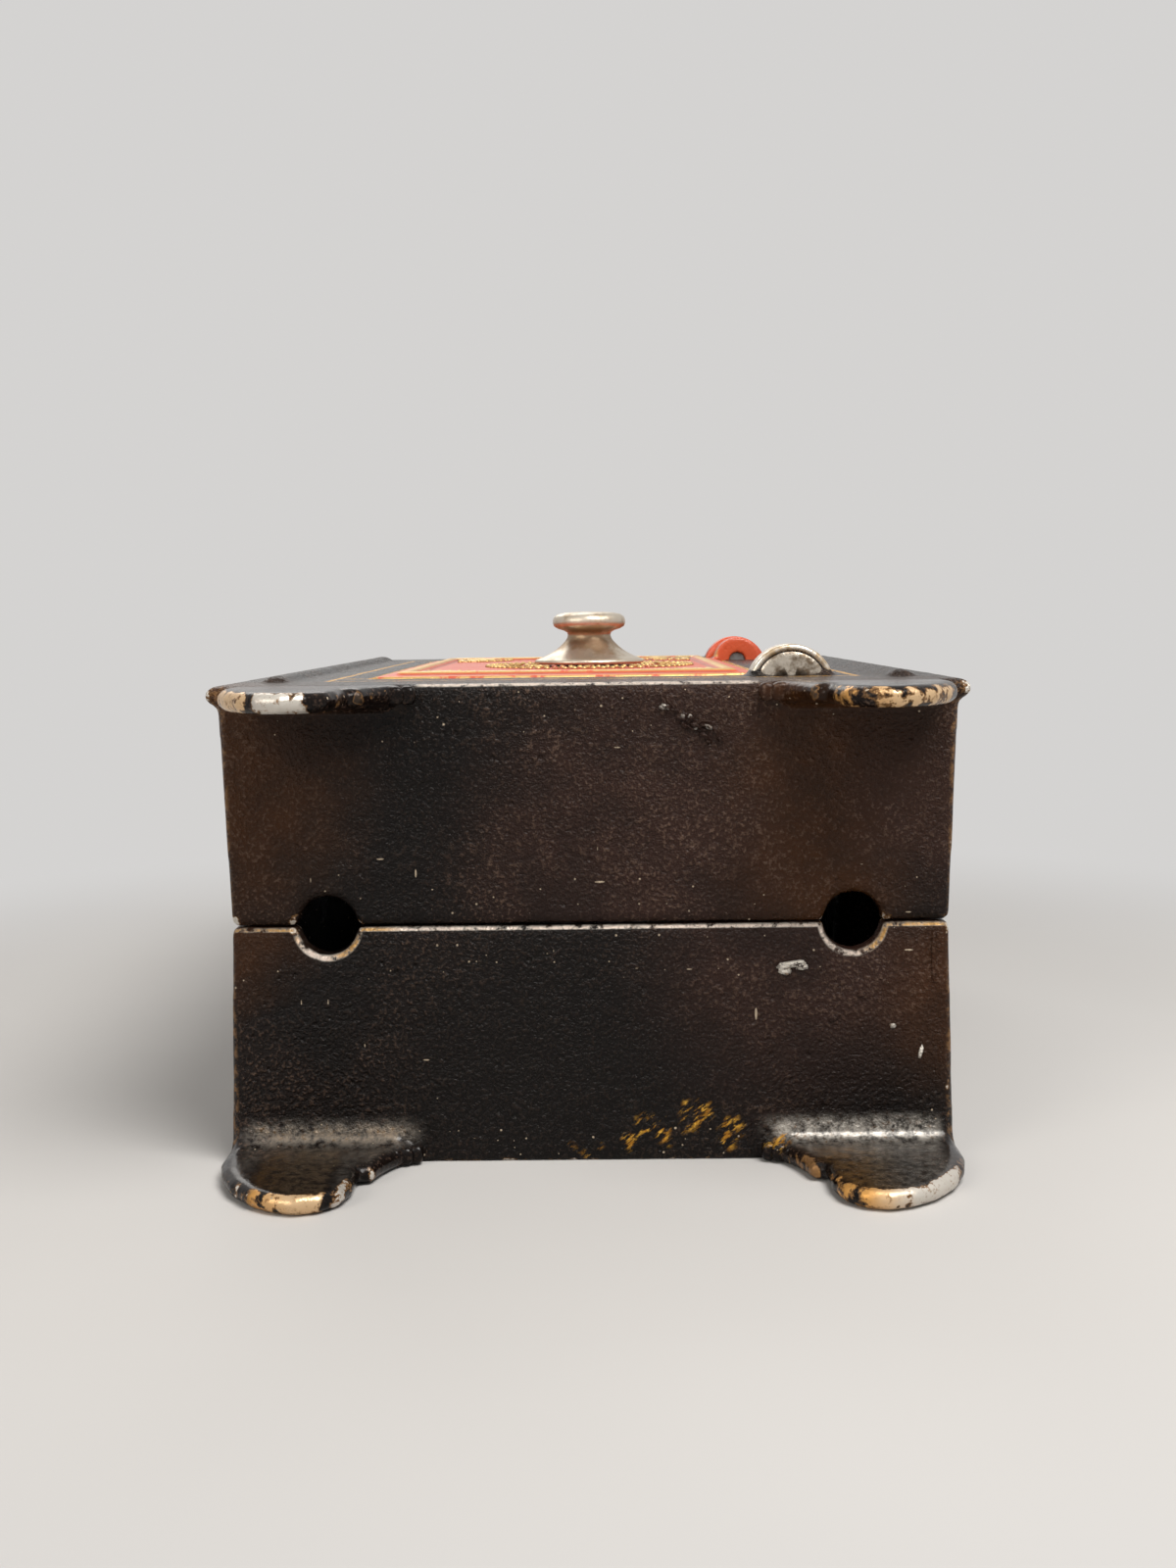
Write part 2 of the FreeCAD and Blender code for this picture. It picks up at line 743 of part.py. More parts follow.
def make_knob():
    """The turned knob: flared foot, waisted neck and bevelled disc, bored for the spindle."""
    body = new_body("knob")
    bore = size("spindle_radius") + size("press_clearance")
    base, neck, top = size("knob_base_radius"), size("knob_neck_radius"), size("knob_top_radius")
    rim, bevel = size("knob_rim_thickness"), size("knob_top_bevel")
    disc_low = size("knob_height") - size("knob_top_thickness")
    flare = base - neck
    section = outline_sketch(
        body, "knob_section", "XZ_Plane", ZERO,
        [
            (bore, ZERO),
            (base, ZERO),
            (base, rim),
            (neck + flare * 0.35, rim + flare * 0.28),
            (neck, rim + flare * 0.75),
            (top - bevel, disc_low),
            (top, size("knob_height") - bevel),
            (top - bevel, size("knob_height")),
            (ZERO, size("knob_height")),
            (ZERO, size("spindle_socket")),
            (bore, size("spindle_socket")),
        ],
    )
    revolve(body, section)
    return place(body, ZERO, door_middle, knob_seat)


def make_disc(label, radius, bore, thickness, back):
    """A round plate with a hole, on the spindle, with its back face at a given height."""
    body = new_body(label)
    section = circle_sketch(
        body, label + "_section", "XY_Plane", ZERO, (ZERO, ZERO, radius), (ZERO, ZERO, bore)
    )
    extrude(body, "Pad", section, thickness)
    return place(body, ZERO, door_middle, back)


def make_spindle():
    body = new_body("spindle")
    foot = nut_back - size("spindle_end")
    section = circle_sketch(body, "spindle_section", "XY_Plane", ZERO, (ZERO, ZERO, size("spindle_radius")))
    extrude(body, "Pad", section, knob_seat + size("spindle_socket") - size("axial_play") - foot)
    return place(body, ZERO, door_middle, foot)


def make_wheel(label, bore, back, peg_places):
    """A lock wheel with its gate towards the door's free side and a hole for each peg."""
    body = make_disc(label, size("wheel_radius"), bore, size("wheel_thickness"), back)
    half_gate = size("keeper_finger_width") / 2 + size("wheel_gate_side_gap")
    gate = outline_sketch(
        body, label + "_gate", "XY_Plane", ZERO,
        box_corners(-size("wheel_radius") * 2, -size("wheel_gate_floor"), -half_gate, half_gate),
    )
    extrude(body, "Pocket", gate, size("wheel_thickness"), backward=True)
    peg_room = size("peg_radius") + size("press_clearance")
    holes = circle_sketch(
        body, label + "_peg_holes", "XY_Plane", ZERO,
        *((peg_x, peg_y, peg_room) for peg_x, peg_y in peg_places),
    )
    extrude(body, "Pocket", holes, size("wheel_thickness"), backward=True)
    return body


def make_peg(label, peg_place, low):
    """A drive peg, pressed through a wheel and standing out on one face."""
    body = new_body(label)
    section = circle_sketch(body, label + "_section", "XY_Plane", ZERO, (ZERO, ZERO, size("peg_radius")))
    extrude(body, "Pad", section, size("wheel_thickness") + size("peg_reach"))
    peg_x, peg_y = peg_place
    return place(body, peg_x, door_middle + peg_y, low)


def make_nut():
    body = new_body("spindle_nut")
    corner = size("nut_across_flats") / math.sqrt(3)
    angles = [math.radians(60 * step) for step in range(6)]
    corners = [(corner * math.cos(angle), corner * math.sin(angle)) for angle in angles]
    section = outline_sketch(body, "nut_section", "XY_Plane", ZERO, corners)
    draw_circle(section, ZERO, ZERO, size("spindle_radius") + size("press_clearance"))
    extrude(body, "Pad", section, size("nut_thickness"))
    return place(body, ZERO, door_middle, nut_back)


def make_keeper():
    """A flat steel bracket under the rebate; its finger lies over the rims of the wheels."""
    body = new_body("keeper")
    left = opening_left - size("rebate_margin")
    base_right = left + size("keeper_base_width")
    shoulder = -(size("wheel_radius") + size("keeper_shoulder_margin"))
    base, root, finger = (
        size(name) / 2 for name in ("keeper_base_length", "keeper_root_width", "keeper_finger_width")
    )
    upper = [(base_right, base), (base_right, root), (shoulder, finger), (-keeper_tip, finger)]
    lower = [(place_x, -place_y) for place_x, place_y in upper]
    outline = [(left, -base), *lower, *reversed(upper), (left, base)]
    section = outline_sketch(body, "keeper_section", "XY_Plane", ZERO, outline)
    for side in (-1, 1):
        draw_circle(
            section, keeper_screw_x, size("keeper_screw_spacing") / 2 * side,
            size("keeper_screw_radius") + size("screw_clearance"),
        )
    extrude(body, "Pad", section, size("keeper_thickness"))
    return place(body, ZERO, door_middle, keeper_back)


def make_keeper_screws():
    """Two short round-headed screws that hold the keeper to the front casting."""
    screws = []
    head = size("keeper_head_radius")
    shank = size("keeper_screw_radius") - size("press_clearance")
    shank_end = size("keeper_thickness") + size("keeper_screw_grip")
    for name, side in (("lower", -1), ("upper", 1)):
        body = new_body(f"keeper_screw_{name}")
        section = outline_sketch(
            body, f"keeper_screw_section_{name}", "XZ_Plane", ZERO,
            [
                (ZERO, -size("keeper_head_height")),
                (head, -size("keeper_head_height")),
                (head, ZERO),
                (shank, ZERO),
                (shank, shank_end),
                (ZERO, shank_end),
            ],
        )
        revolve(body, section)
        along = size("keeper_screw_spacing") / 2 * side
        screws.append(place(body, keeper_screw_x, door_middle + along, keeper_back))
    return group("keeper_screws", screws)


def check_and_export(pieces):
    doc.recompute()
    for item in doc.Objects:
        if any(word in state for state in item.State for word in ("Invalid", "Error")):
            raise RuntimeError(f"{item.Label} failed: {item.State}")
    for piece in pieces:
        if piece.Shape.isNull() or not piece.Shape.isValid():
            raise RuntimeError(f"{piece.Label} has no valid shape")
    os.makedirs("parts", exist_ok=True)
    for piece in pieces:
        piece.Shape.exportStep(f"parts/{piece.Label}.step")
        print(piece.Label, len(piece.Shape.Solids), round(piece.Shape.Volume, 1))


peg_aside = size("peg_radius") + size("peg_gap") / 2
first_pair = -size("peg_circle_radius")
second_pair = size("peg_circle_radius")
driver_peg_place = (-peg_aside, first_pair)
middle_front_peg_place = (peg_aside, first_pair)
middle_back_peg_place = (peg_aside, second_pair)
rear_peg_place = (-peg_aside, second_pair)
fixed_bore = size("spindle_radius") + size("press_clearance")
running_bore = size("spindle_radius") + size("running_clearance")

check_and_export([
    make_front_casting(),
    make_rear_casting(),
    make_body_screws(),
    make_hinge_pin("lower", opening_bottom, 1),
    make_hinge_pin("upper", opening_top, -1),
    make_keeper(),
    make_keeper_screws(),
    make_door(),
    make_knob(),
    make_spindle(),
    make_wheel("driver_wheel", fixed_bore, driver_back, [driver_peg_place]),
    make_peg("driver_peg", driver_peg_place, driver_back - size("peg_reach")),
    make_disc(
        "middle_spacer", size("spacer_radius"), fixed_bore, size("wheel_spacer_thickness"), middle_spacer_back
    ),
    make_wheel("middle_tumbler", running_bore, middle_back, [middle_front_peg_place, middle_back_peg_place]),
    group("middle_pegs", [
        make_peg("middle_front_peg", middle_front_peg_place, middle_back),
        make_peg("middle_back_peg", middle_back_peg_place, middle_back - size("peg_reach")),
    ]),
    make_disc(
        "rear_spacer", size("spacer_radius"), fixed_bore, size("wheel_spacer_thickness"), rear_spacer_back
    ),
    make_wheel("rear_tumbler", running_bore, rear_back, [rear_peg_place]),
    make_peg("rear_peg", rear_peg_place, rear_back),
    make_disc(
        "end_washer", size("spacer_radius"), fixed_bore, size("end_washer_thickness"), end_washer_back
    ),
    make_nut(),
])
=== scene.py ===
import math
import bmesh
import bpy
import numpy as np
from mathutils import Matrix, Vector


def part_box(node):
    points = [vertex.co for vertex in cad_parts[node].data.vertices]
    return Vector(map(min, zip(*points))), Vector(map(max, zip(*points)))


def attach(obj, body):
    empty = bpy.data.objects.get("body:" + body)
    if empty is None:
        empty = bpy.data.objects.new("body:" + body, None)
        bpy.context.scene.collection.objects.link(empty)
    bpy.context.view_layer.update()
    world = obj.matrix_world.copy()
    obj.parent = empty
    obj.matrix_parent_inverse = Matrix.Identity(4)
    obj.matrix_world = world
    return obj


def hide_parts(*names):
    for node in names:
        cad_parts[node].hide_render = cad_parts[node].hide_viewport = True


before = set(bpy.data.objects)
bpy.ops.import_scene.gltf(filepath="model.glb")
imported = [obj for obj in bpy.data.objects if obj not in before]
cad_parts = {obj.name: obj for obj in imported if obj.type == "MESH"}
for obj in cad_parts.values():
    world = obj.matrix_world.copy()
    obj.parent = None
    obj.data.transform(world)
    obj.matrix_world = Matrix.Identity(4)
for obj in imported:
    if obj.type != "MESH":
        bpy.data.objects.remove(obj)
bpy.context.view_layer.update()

# Rear casting
# The back half of the box: plate, two scalloped feet and four drafted walls, poured in grey iron in a sand
# mould. It was dipped in black japan, which has worn through on the edges and the feet.


def add_node(tree, kind, inputs=None, **settings):
    """A node with its settings and inputs; an input is a number, a colour or another node's output."""
    made = tree.nodes.new(kind)
    for name, value in settings.items():
        setattr(made, name, value)
    for name, value in (inputs or {}).items():
        if isinstance(value, bpy.types.NodeSocket):
            tree.links.new(value, made.inputs[name])
        else:
            made.inputs[name].default_value = value
    return made


def calc(tree, operation, *values):
    return add_node(tree, "ShaderNodeMath", dict(enumerate(values)), operation=operation).outputs[0]


def fade(tree, value, start, end):
    """0 before start and 1 past end, with a soft step between; start may be the higher one."""
    inputs = {"Value": value, "From Min": start, "From Max": end}
    return add_node(tree, "ShaderNodeMapRange", inputs, interpolation_type="SMOOTHSTEP").outputs[0]


def both(tree, *masks):
    """The product of masks: 1 only where all of them are."""
    total = masks[0]
    for mask in masks[1:]:
        total = calc(tree, "MULTIPLY", total, mask)
    return total


def strongest(tree, *masks):
    total = masks[0]
    for mask in masks[1:]:
        total = calc(tree, "MAXIMUM", total, mask)
    return total


def tint(tree, mask, under, over):
    return add_node(tree, "ShaderNodeMix", {0: mask, 6: under, 7: over}, data_type="RGBA").outputs[2]


def millimetres(tree):
    place = add_node(tree, "ShaderNodeTexCoord").outputs["Object"]
    return add_node(tree, "ShaderNodeVectorMath", {0: place, "Scale": 1000}, operation="SCALE").outputs[0]


def sides(tree, place):
    """How far across, along and up the safe a place is."""
    return add_node(tree, "ShaderNodeSeparateXYZ", {0: place}).outputs


def mottle(tree, place, scale, detail=2.0, roughness=0.5):
    inputs = {"Vector": place, "Scale": scale, "Detail": detail, "Roughness": roughness}
    return add_node(tree, "ShaderNodeTexNoise", inputs).outputs[0]


def new_effect(name, inputs, outputs):
    """An empty shader group with number sockets."""
    effect = bpy.data.node_groups.new(name, "ShaderNodeTree")
    for socket, default in inputs.items():
        made = effect.interface.new_socket(socket, in_out="INPUT", socket_type="NodeSocketFloat")
        made.default_value = default
    for socket in outputs:
        effect.interface.new_socket(socket, in_out="OUTPUT", socket_type="NodeSocketFloat")
    return effect, effect.nodes.new("NodeGroupInput").outputs, effect.nodes.new("NodeGroupOutput").inputs


def use_effect(tree, effect, values=None):
    return add_node(tree, "ShaderNodeGroup", values, node_tree=effect).outputs


def new_finish(name):
    """An empty material: its tree and its Principled shader."""
    finish = bpy.data.materials.new(name)
    finish.use_nodes = True
    tree = finish.node_tree
    return finish, tree, tree.nodes["Principled BSDF"]


def set_bump(tree, shader, height, strength, distance):
    inputs = {"Height": height, "Strength": strength, "Distance": distance}
    tree.links.new(add_node(tree, "ShaderNodeBump", inputs).outputs[0], shader.inputs["Normal"])


# sand grain with a few gas pits as a height, and the tops of its grains, which carry pale painted glints
sand_grain, grain_in, grain_out = new_effect("sand_grain", {"Pit share": 0.35}, ["Height", "Glints"])
grain_place = millimetres(sand_grain)
grain_fine = mottle(sand_grain, grain_place, 2.4, 2.5, 0.6)
grain_broad = mottle(sand_grain, grain_place, 0.4, 2.0)
grain_cells = add_node(sand_grain, "ShaderNodeTexVoronoi", {"Vector": grain_place, "Scale": 0.55})
grain_draw = add_node(sand_grain, "ShaderNodeSeparateColor", {0: grain_cells.outputs["Color"]}).outputs[0]
grain_pits = both(
    sand_grain,
    fade(sand_grain, grain_cells.outputs["Distance"], 0.22, 0.05),
    calc(sand_grain, "LESS_THAN", grain_draw, grain_in["Pit share"]),
)
grain_height = calc(sand_grain, "MULTIPLY_ADD", grain_broad, 0.7, grain_fine)
grain_height = calc(sand_grain, "SUBTRACT", grain_height, calc(sand_grain, "MULTIPLY", grain_pits, 0.5))
sand_grain.links.new(grain_height, grain_out["Height"])
sand_grain.links.new(fade(sand_grain, grain_fine, 0.5, 0.72), grain_out["Glints"])

# where paint has gone from the edges: a brown fringe and the bare metal inside it
paint_loss, loss_in, loss_out = new_effect(
    "paint_loss", {"Amount": 0.3, "Chip scale": 0.7}, ["Fringe", "Bare", "Hollow"]
)
loss_edge = add_node(paint_loss, "ShaderNodeAttribute", attribute_name="edge").outputs["Fac"]
loss_chips = add_node(
    paint_loss, "ShaderNodeTexNoise",
    {"Vector": millimetres(paint_loss), "Scale": loss_in["Chip scale"], "Detail": 5.0, "Roughness": 0.62},
).outputs[0]
loss_level = calc(paint_loss, "MULTIPLY_ADD", loss_chips, 1.9, -0.95)
loss_share = both(paint_loss, loss_in["Amount"], fade(paint_loss, loss_edge, 0.1, 0.35))
loss_level = calc(paint_loss, "ADD", loss_level, calc(paint_loss, "MULTIPLY_ADD", loss_share, 0.9, -0.45))
loss_level = calc(paint_loss, "MULTIPLY_ADD", loss_edge, 0.85, loss_level)
paint_loss.links.new(fade(paint_loss, loss_level, 0.36, 0.5), loss_out["Fringe"])
paint_loss.links.new(fade(paint_loss, loss_level, 0.5, 0.58), loss_out["Bare"])
paint_loss.links.new(fade(paint_loss, loss_edge, -0.08, -0.5), loss_out["Hollow"])

# dust as pale specks and lint as short threads, lying two ways
dust, dust_in, dust_out = new_effect("dust", {"Share": 0.3}, ["Specks"])
dust_place = millimetres(dust)
dust_layers = []
for turn, stretch, scale, reach in (
    ((0, 0, 0), (1, 1, 1), 1.1, 0.15),
    ((0.3, 0.9, 0.2), (0.2, 1, 1), 0.7, 0.09),
    ((0.1, -0.6, 0.5), (1, 1, 0.2), 0.65, 0.09),
):
    dust_lie = add_node(dust, "ShaderNodeMapping", {"Vector": dust_place, "Rotation": turn, "Scale": stretch})
    dust_cells = add_node(dust, "ShaderNodeTexVoronoi", {"Vector": dust_lie.outputs[0], "Scale": scale})
    dust_draw = add_node(dust, "ShaderNodeSeparateColor", {0: dust_cells.outputs["Color"]}).outputs
    dust_reach = both(dust, dust_draw[2], dust_draw[2], reach)
    dust_layers.append(both(
        dust,
        calc(dust, "LESS_THAN", dust_cells.outputs["Distance"], dust_reach),
        calc(dust, "LESS_THAN", dust_draw[1], dust_in["Share"]),
    ))
dust.links.new(strongest(dust, *dust_layers), dust_out["Specks"])


def near_spot(tree, place, spot, radius):
    """1 at a place on the casting, given in millimetres, fading to 0 at the radius."""
    apart = add_node(tree, "ShaderNodeVectorMath", {0: place, 1: spot}, operation="DISTANCE").outputs["Value"]
    return fade(tree, apart, radius, radius * 0.3)


def near_spots(tree, place, spots):
    return strongest(tree, *(near_spot(tree, place, spot, radius) for spot, radius in spots))


FEET_REACH = 42.0


def along_feet(tree, across, place, stops):
    """The tone of the worn metal and how much of it shows, from side to side; a stop is (x, tone, share)."""
    wander = calc(tree, "MULTIPLY_ADD", mottle(tree, place, 0.6, 3.0), 2.0, -1.0)
    share = add_node(
        tree, "ShaderNodeMapRange",
        {"Value": calc(tree, "ADD", across, wander), "From Min": -FEET_REACH, "From Max": FEET_REACH},
    ).outputs[0]
    ramp = add_node(tree, "ShaderNodeValToRGB", {"Fac": share})
    tones = ramp.color_ramp.elements
    places = [(at + FEET_REACH) / (2 * FEET_REACH) for at, _, _ in stops]
    for share_along in places[:-2]:
        tones.new(share_along)
    for element, share_along, (_, tone, shown) in zip(tones, places, stops):
        element.position = share_along
        element.color = (*tone, shown)
    return ramp.outputs["Color"], ramp.outputs["Alpha"]


SILVER, CREAM, ORANGE = (0.62, 0.58, 0.52), (0.68, 0.47, 0.27), (0.62, 0.32, 0.09)
BRONZE, SOOT = (0.26, 0.14, 0.06), (0.03, 0.025, 0.022)
BASE_HOLE_ACROSS, SEAM_HEIGHT = 29.1, 26.75


def japanned_iron(
    name, feet_wear, gilt_spots, brown_stain_and_warm_light_spots, grey_spots, shade_and_clean_spots, lip, rim_shine, cove_bare_and_highlight_share,
    gold_lines=(),
):
    """Worn black japan over cast iron, with all sizes in millimetres.

    A spot is (place, radius). The lip is a worn edge painted pale, which also stands in for the highlight
    along it (painted highlight): (low, high, reach, shine). A gold line is a frame:
    (middle, half size, (thickness, height of its face)).
    """
    finish, tree, shader = new_finish(name)
    place = millimetres(tree)
    across, along, height = sides(tree, place)
    outward = calc(tree, "ABSOLUTE", across)
    grain = use_effect(tree, sand_grain)
    specks = use_effect(tree, dust, {"Share": 0.42})["Specks"]
    wander = add_node(tree, "ShaderNodeTexNoise", {"Vector": place, "Scale": 0.3, "Detail": 3.0})
    wander = add_node(
        tree, "ShaderNodeVectorMath", {0: wander.outputs["Color"], 1: (6, 6, 6), 2: (-3, -3, -3)},
        operation="MULTIPLY_ADD",
    ).outputs[0]
    about = add_node(tree, "ShaderNodeVectorMath", {0: place, 1: wander}).outputs[0]
    lump = add_node(tree, "ShaderNodeAttribute", attribute_name="lump").outputs["Fac"]
    outside = fade(tree, along, -45.6, -46.1)
    on_feet = fade(tree, along, -48.0, -51.0)
    worn_tone, worn_share = along_feet(tree, across, place, feet_wear)
    inward = fade(tree, outward, 40.4, 39.0)
    worn = calc(tree, "MAXIMUM", both(tree, on_feet, worn_share, inward), 0.28)
    loss = use_effect(tree, paint_loss, {"Amount": worn})

    # the japan itself: black, dulled by a brown film in places and a grey one in others; the brown spots are
    # brown stains on the rear casting and painted warm light on the front one, where the feet shade the face
    # from the near lamp
    clouds = mottle(tree, place, 0.1, 5.0, 0.62)
    # painted shade: inside the shade spots the film and the glints are left off, so the japan is at its
    # darkest where the face lies in shade; on the tops of the rear feet the same spots are clean black paint
    outside_shade_and_clean_spots = calc(tree, "SUBTRACT", 1.0, near_spots(tree, about, shade_and_clean_spots))
    film = both(tree, fade(tree, clouds, 0.35, 0.65), outside_shade_and_clean_spots)
    japan = tint(tree, film, (0.004, 0.0026, 0.0022, 1), (0.009, 0.0048, 0.0036, 1))
    brown = both(tree, near_spots(tree, about, brown_stain_and_warm_light_spots), calc(tree, "MULTIPLY_ADD", film, 0.5, 0.5))
    japan = tint(tree, brown, japan, (0.052, 0.018, 0.004, 1))
    grey = both(tree, near_spots(tree, about, grey_spots), calc(tree, "MULTIPLY_ADD", film, 0.5, 0.5))
    japan = tint(tree, grey, japan, (0.030, 0.0135, 0.0095, 1))
    # painted glints: pale specks on the grain tops stand in for light glinting off the grain, fewer where the
    # film is thin
    grain_glints = both(tree, grain["Glints"], calc(tree, "MULTIPLY_ADD", film, 0.6, 0.08))
    japan = tint(tree, grain_glints, japan, (0.15, 0.095, 0.068, 1))
    japan = tint(tree, calc(tree, "MULTIPLY", loss["Hollow"], 0.6), japan, (0.02, 0.012, 0.007, 1))

    # bare metal on the feet, the seam edge, the rims of the base holes and a few knocks; the pale seam edge,
    # plate edge and hole rims are partly wear and partly painted highlights on those rounded edges
    breaks = mottle(tree, place, 0.9, 4.0, 0.7)
    hole_x = calc(tree, "SUBTRACT", outward, BASE_HOLE_ACROSS)
    hole_z = calc(tree, "SUBTRACT", height, SEAM_HEIGHT)
    from_hole = calc(tree, "SQRT", calc(tree, "MULTIPLY_ADD", hole_x, hole_x, both(tree, hole_z, hole_z)))
    rim = both(tree, outside, fade(tree, from_hole, 4.05, 3.75), fade(tree, from_hole, 3.15, 3.3), rim_shine)
    low, high, reach, shine = lip
    # painted highlight: a pale line along the seam lip of the rear casting and the near edge of the plate,
    # partly worn metal
    worn_and_highlit_edge = both(
        tree, outside, fade(tree, height, low, low + 0.2), fade(tree, height, high + 0.2, high),
        fade(tree, outward, reach, reach - 1.0),
    )
    lines = both(tree, strongest(tree, rim, worn_and_highlit_edge), fade(tree, breaks, 0.36, 0.54), shine)
    knocks = both(tree, fade(tree, lump, 0.35, 0.6), fade(tree, breaks, 0.36, 0.48))
    rusty = calc(tree, "SUBTRACT", fade(tree, across, -29.5, -27.0), fade(tree, across, -24.0, -20.0))
    rusty = strongest(tree, rusty, fade(tree, across, 29.5, 31.5), fade(tree, across, -31.5, -33.5))
    line_tone = tint(tree, rusty, (0.62, 0.52, 0.45, 1), (0.5, 0.29, 0.1, 1))
    metal = tint(tree, on_feet, (*SILVER, 1), worn_tone)
    metal = tint(tree, fade(tree, mottle(tree, place, 1.6, 4.0, 0.65), 0.54, 0.72), metal, (*BRONZE, 1))
    metal = tint(tree, lines, metal, line_tone)
    # painted highlight: bare metal in the coves of the rear feet, brighter on the right and orange on the
    # left, stands in for the lamp's highlight along the coves, with some real worn specks
    cove_bare_and_highlight = both(
        tree, fade(tree, along, -46.4, -47.2), fade(tree, height, 5.6, 3.4), fade(tree, height, 1.9, 3.4),
        fade(tree, outward, 18.0, 22.0), fade(tree, outward, 39.4, 37.4), fade(tree, breaks, 0.3, 0.66),
        calc(tree, "MULTIPLY_ADD", fade(tree, across, 0.0, 10.0), 0.45, 0.5), cove_bare_and_highlight_share,
    )
    metal = tint(tree, both(tree, cove_bare_and_highlight, fade(tree, across, 5.0, -5.0)), metal, (0.68, 0.43, 0.2, 1))
    bare = strongest(tree, loss["Bare"], lines, knocks, cove_bare_and_highlight)

    # thin gold strokes left in the corners, all rubbed one way, and what is left of the gold lines
    stroke = calc(tree, "MULTIPLY_ADD", height, 0.6, calc(tree, "MULTIPLY", across, 0.8))
    cross = calc(tree, "MULTIPLY_ADD", height, 0.8, calc(tree, "MULTIPLY", across, -0.6))
    strokes = add_node(
        tree, "ShaderNodeCombineXYZ", {0: both(tree, stroke, 0.45), 1: both(tree, cross, 1.7), 2: along}
    )
    strokes = mottle(tree, strokes.outputs[0], 0.9, 4.0, 0.7)
    gilt = both(tree, near_spots(tree, about, gilt_spots), fade(tree, strokes, 0.5, 0.6))
    for (middle_x, middle_y), (half_x, half_y), (thin, face) in gold_lines:
        line_x = calc(tree, "ABSOLUTE", calc(tree, "SUBTRACT", across, middle_x))
        line_y = calc(tree, "ABSOLUTE", calc(tree, "SUBTRACT", along, middle_y))
        past_line = strongest(
            tree, calc(tree, "SUBTRACT", line_x, half_x), calc(tree, "SUBTRACT", line_y, half_y)
        )
        from_line = calc(tree, "ABSOLUTE", past_line)
        line = both(tree, fade(tree, from_line, thin, thin * 0.6), fade(tree, height, face - 0.4, face - 0.2))
        gilt = strongest(tree, gilt, both(tree, line, fade(tree, breaks, 0.36, 0.5)))

    # worn corners, then all the layers from the japan up to the dust
    corner = both(
        tree, fade(tree, outward, 39.3, 39.9), fade(tree, along, -45.4, -46.2),
        fade(tree, along, -47.6, -47.0), fade(tree, breaks, 0.46, 0.6),
    )
    fringe = both(tree, strongest(tree, loss["Fringe"], corner), 0.8)
    colour = tint(tree, fringe, japan, (0.22, 0.115, 0.045, 1))
    colour = tint(tree, bare, colour, metal)
    gold = tint(tree, fade(tree, breaks, 0.4, 0.6), (0.34, 0.14, 0.012, 1), (0.72, 0.39, 0.05, 1))
    colour = tint(tree, gilt, colour, gold)
    colour = tint(tree, specks, colour, (0.42, 0.34, 0.25, 1))
    tree.links.new(colour, shader.inputs["Base Color"])
    tree.links.new(calc(tree, "MULTIPLY", bare, 0.5), shader.inputs["Metallic"])
    gloss = calc(tree, "MULTIPLY_ADD", clouds, 0.3, 0.1)
    gloss = calc(tree, "MULTIPLY_ADD", on_feet, -0.08, gloss)
    gloss = calc(tree, "MULTIPLY_ADD", strongest(tree, specks, both(tree, bare, 0.4)), 0.4, gloss)
    tree.links.new(gloss, shader.inputs["Roughness"])
    shader.inputs["Specular IOR Level"].default_value = 0.14
    rear_feet = both(tree, fade(tree, height, 1.5, 2.1), fade(tree, height, 14.0, 8.0))
    tree.links.new(both(tree, fade(tree, along, -46.9, -47.4), rear_feet, 0.3), shader.inputs["Coat Weight"])
    shader.inputs["Coat Roughness"].default_value = 0.15
    relief = calc(tree, "MULTIPLY_ADD", loss["Fringe"], -0.3, grain["Height"])
    runs = calc(tree, "MULTIPLY_ADD", fade(tree, along, -47.0, -47.5), -0.88, 1.0)
    set_bump(tree, shader, both(tree, relief, runs), 0.9, 0.00042)
    return finish


def mark_edges(mesh):
    """Stores how sharply the surface bends at each point: 1 on sharp edges, -1 in corners."""
    count = len(mesh.vertices)
    points = np.zeros(count * 3)
    normals = np.zeros(count * 3)
    mesh.vertices.foreach_get("co", points)
    mesh.vertices.foreach_get("normal", normals)
    points, normals = points.reshape(-1, 3), normals.reshape(-1, 3)
    pairs = np.zeros(len(mesh.edges) * 2, dtype=np.int64)
    mesh.edges.foreach_get("vertices", pairs)
    start, end = pairs.reshape(-1, 2).T
    step = points[end] - points[start]
    span = (step**2).sum(1)
    ends = np.concatenate([start, end])
    uses = np.maximum(np.bincount(ends, minlength=count), 1)
    bend = -2 * np.concatenate([(step * normals[start]).sum(1), -(step * normals[end]).sum(1)])
    bend = bend / np.concatenate([span, span])
    bend = np.bincount(ends, weights=bend, minlength=count) / uses
    for _ in range(4):
        near = np.bincount(ends, weights=np.concatenate([bend[end], bend[start]]), minlength=count) / uses
        bend = (bend + near) / 2
    edge = mesh.attributes.new("edge", "FLOAT", "POINT")
    edge.data.foreach_set("value", np.clip(bend * 0.0009, -1, 1).astype(np.float32))


def add_lumps(mesh, lumps):
    """Sets lumps of iron on the surface. A lump is (place, radius, tilt, bareness, roughness), with place and
    radius in millimetres and tilt in degrees."""
    draw = np.random.default_rng(7)
    shape = bmesh.new()
    shape.from_mesh(mesh)
    bare = shape.verts.layers.float.new("lump")
    for place, radius, tilt, bareness, roughness in lumps:
        turn = Matrix.Rotation(math.radians(tilt), 3, "Y").to_euler()
        blob = bmesh.ops.create_icosphere(shape, subdivisions=3, radius=1)
        at = Matrix.LocRotScale(Vector(place) / 1000, turn, Vector(radius) / 1000)
        for point in blob["verts"]:
            point[bare] = bareness
            square = Vector([math.copysign(abs(side) ** 0.7, side) for side in point.co])
            point.co = at @ (square * draw.uniform(1 - roughness, 1))
    shape.to_mesh(mesh)
    shape.free()


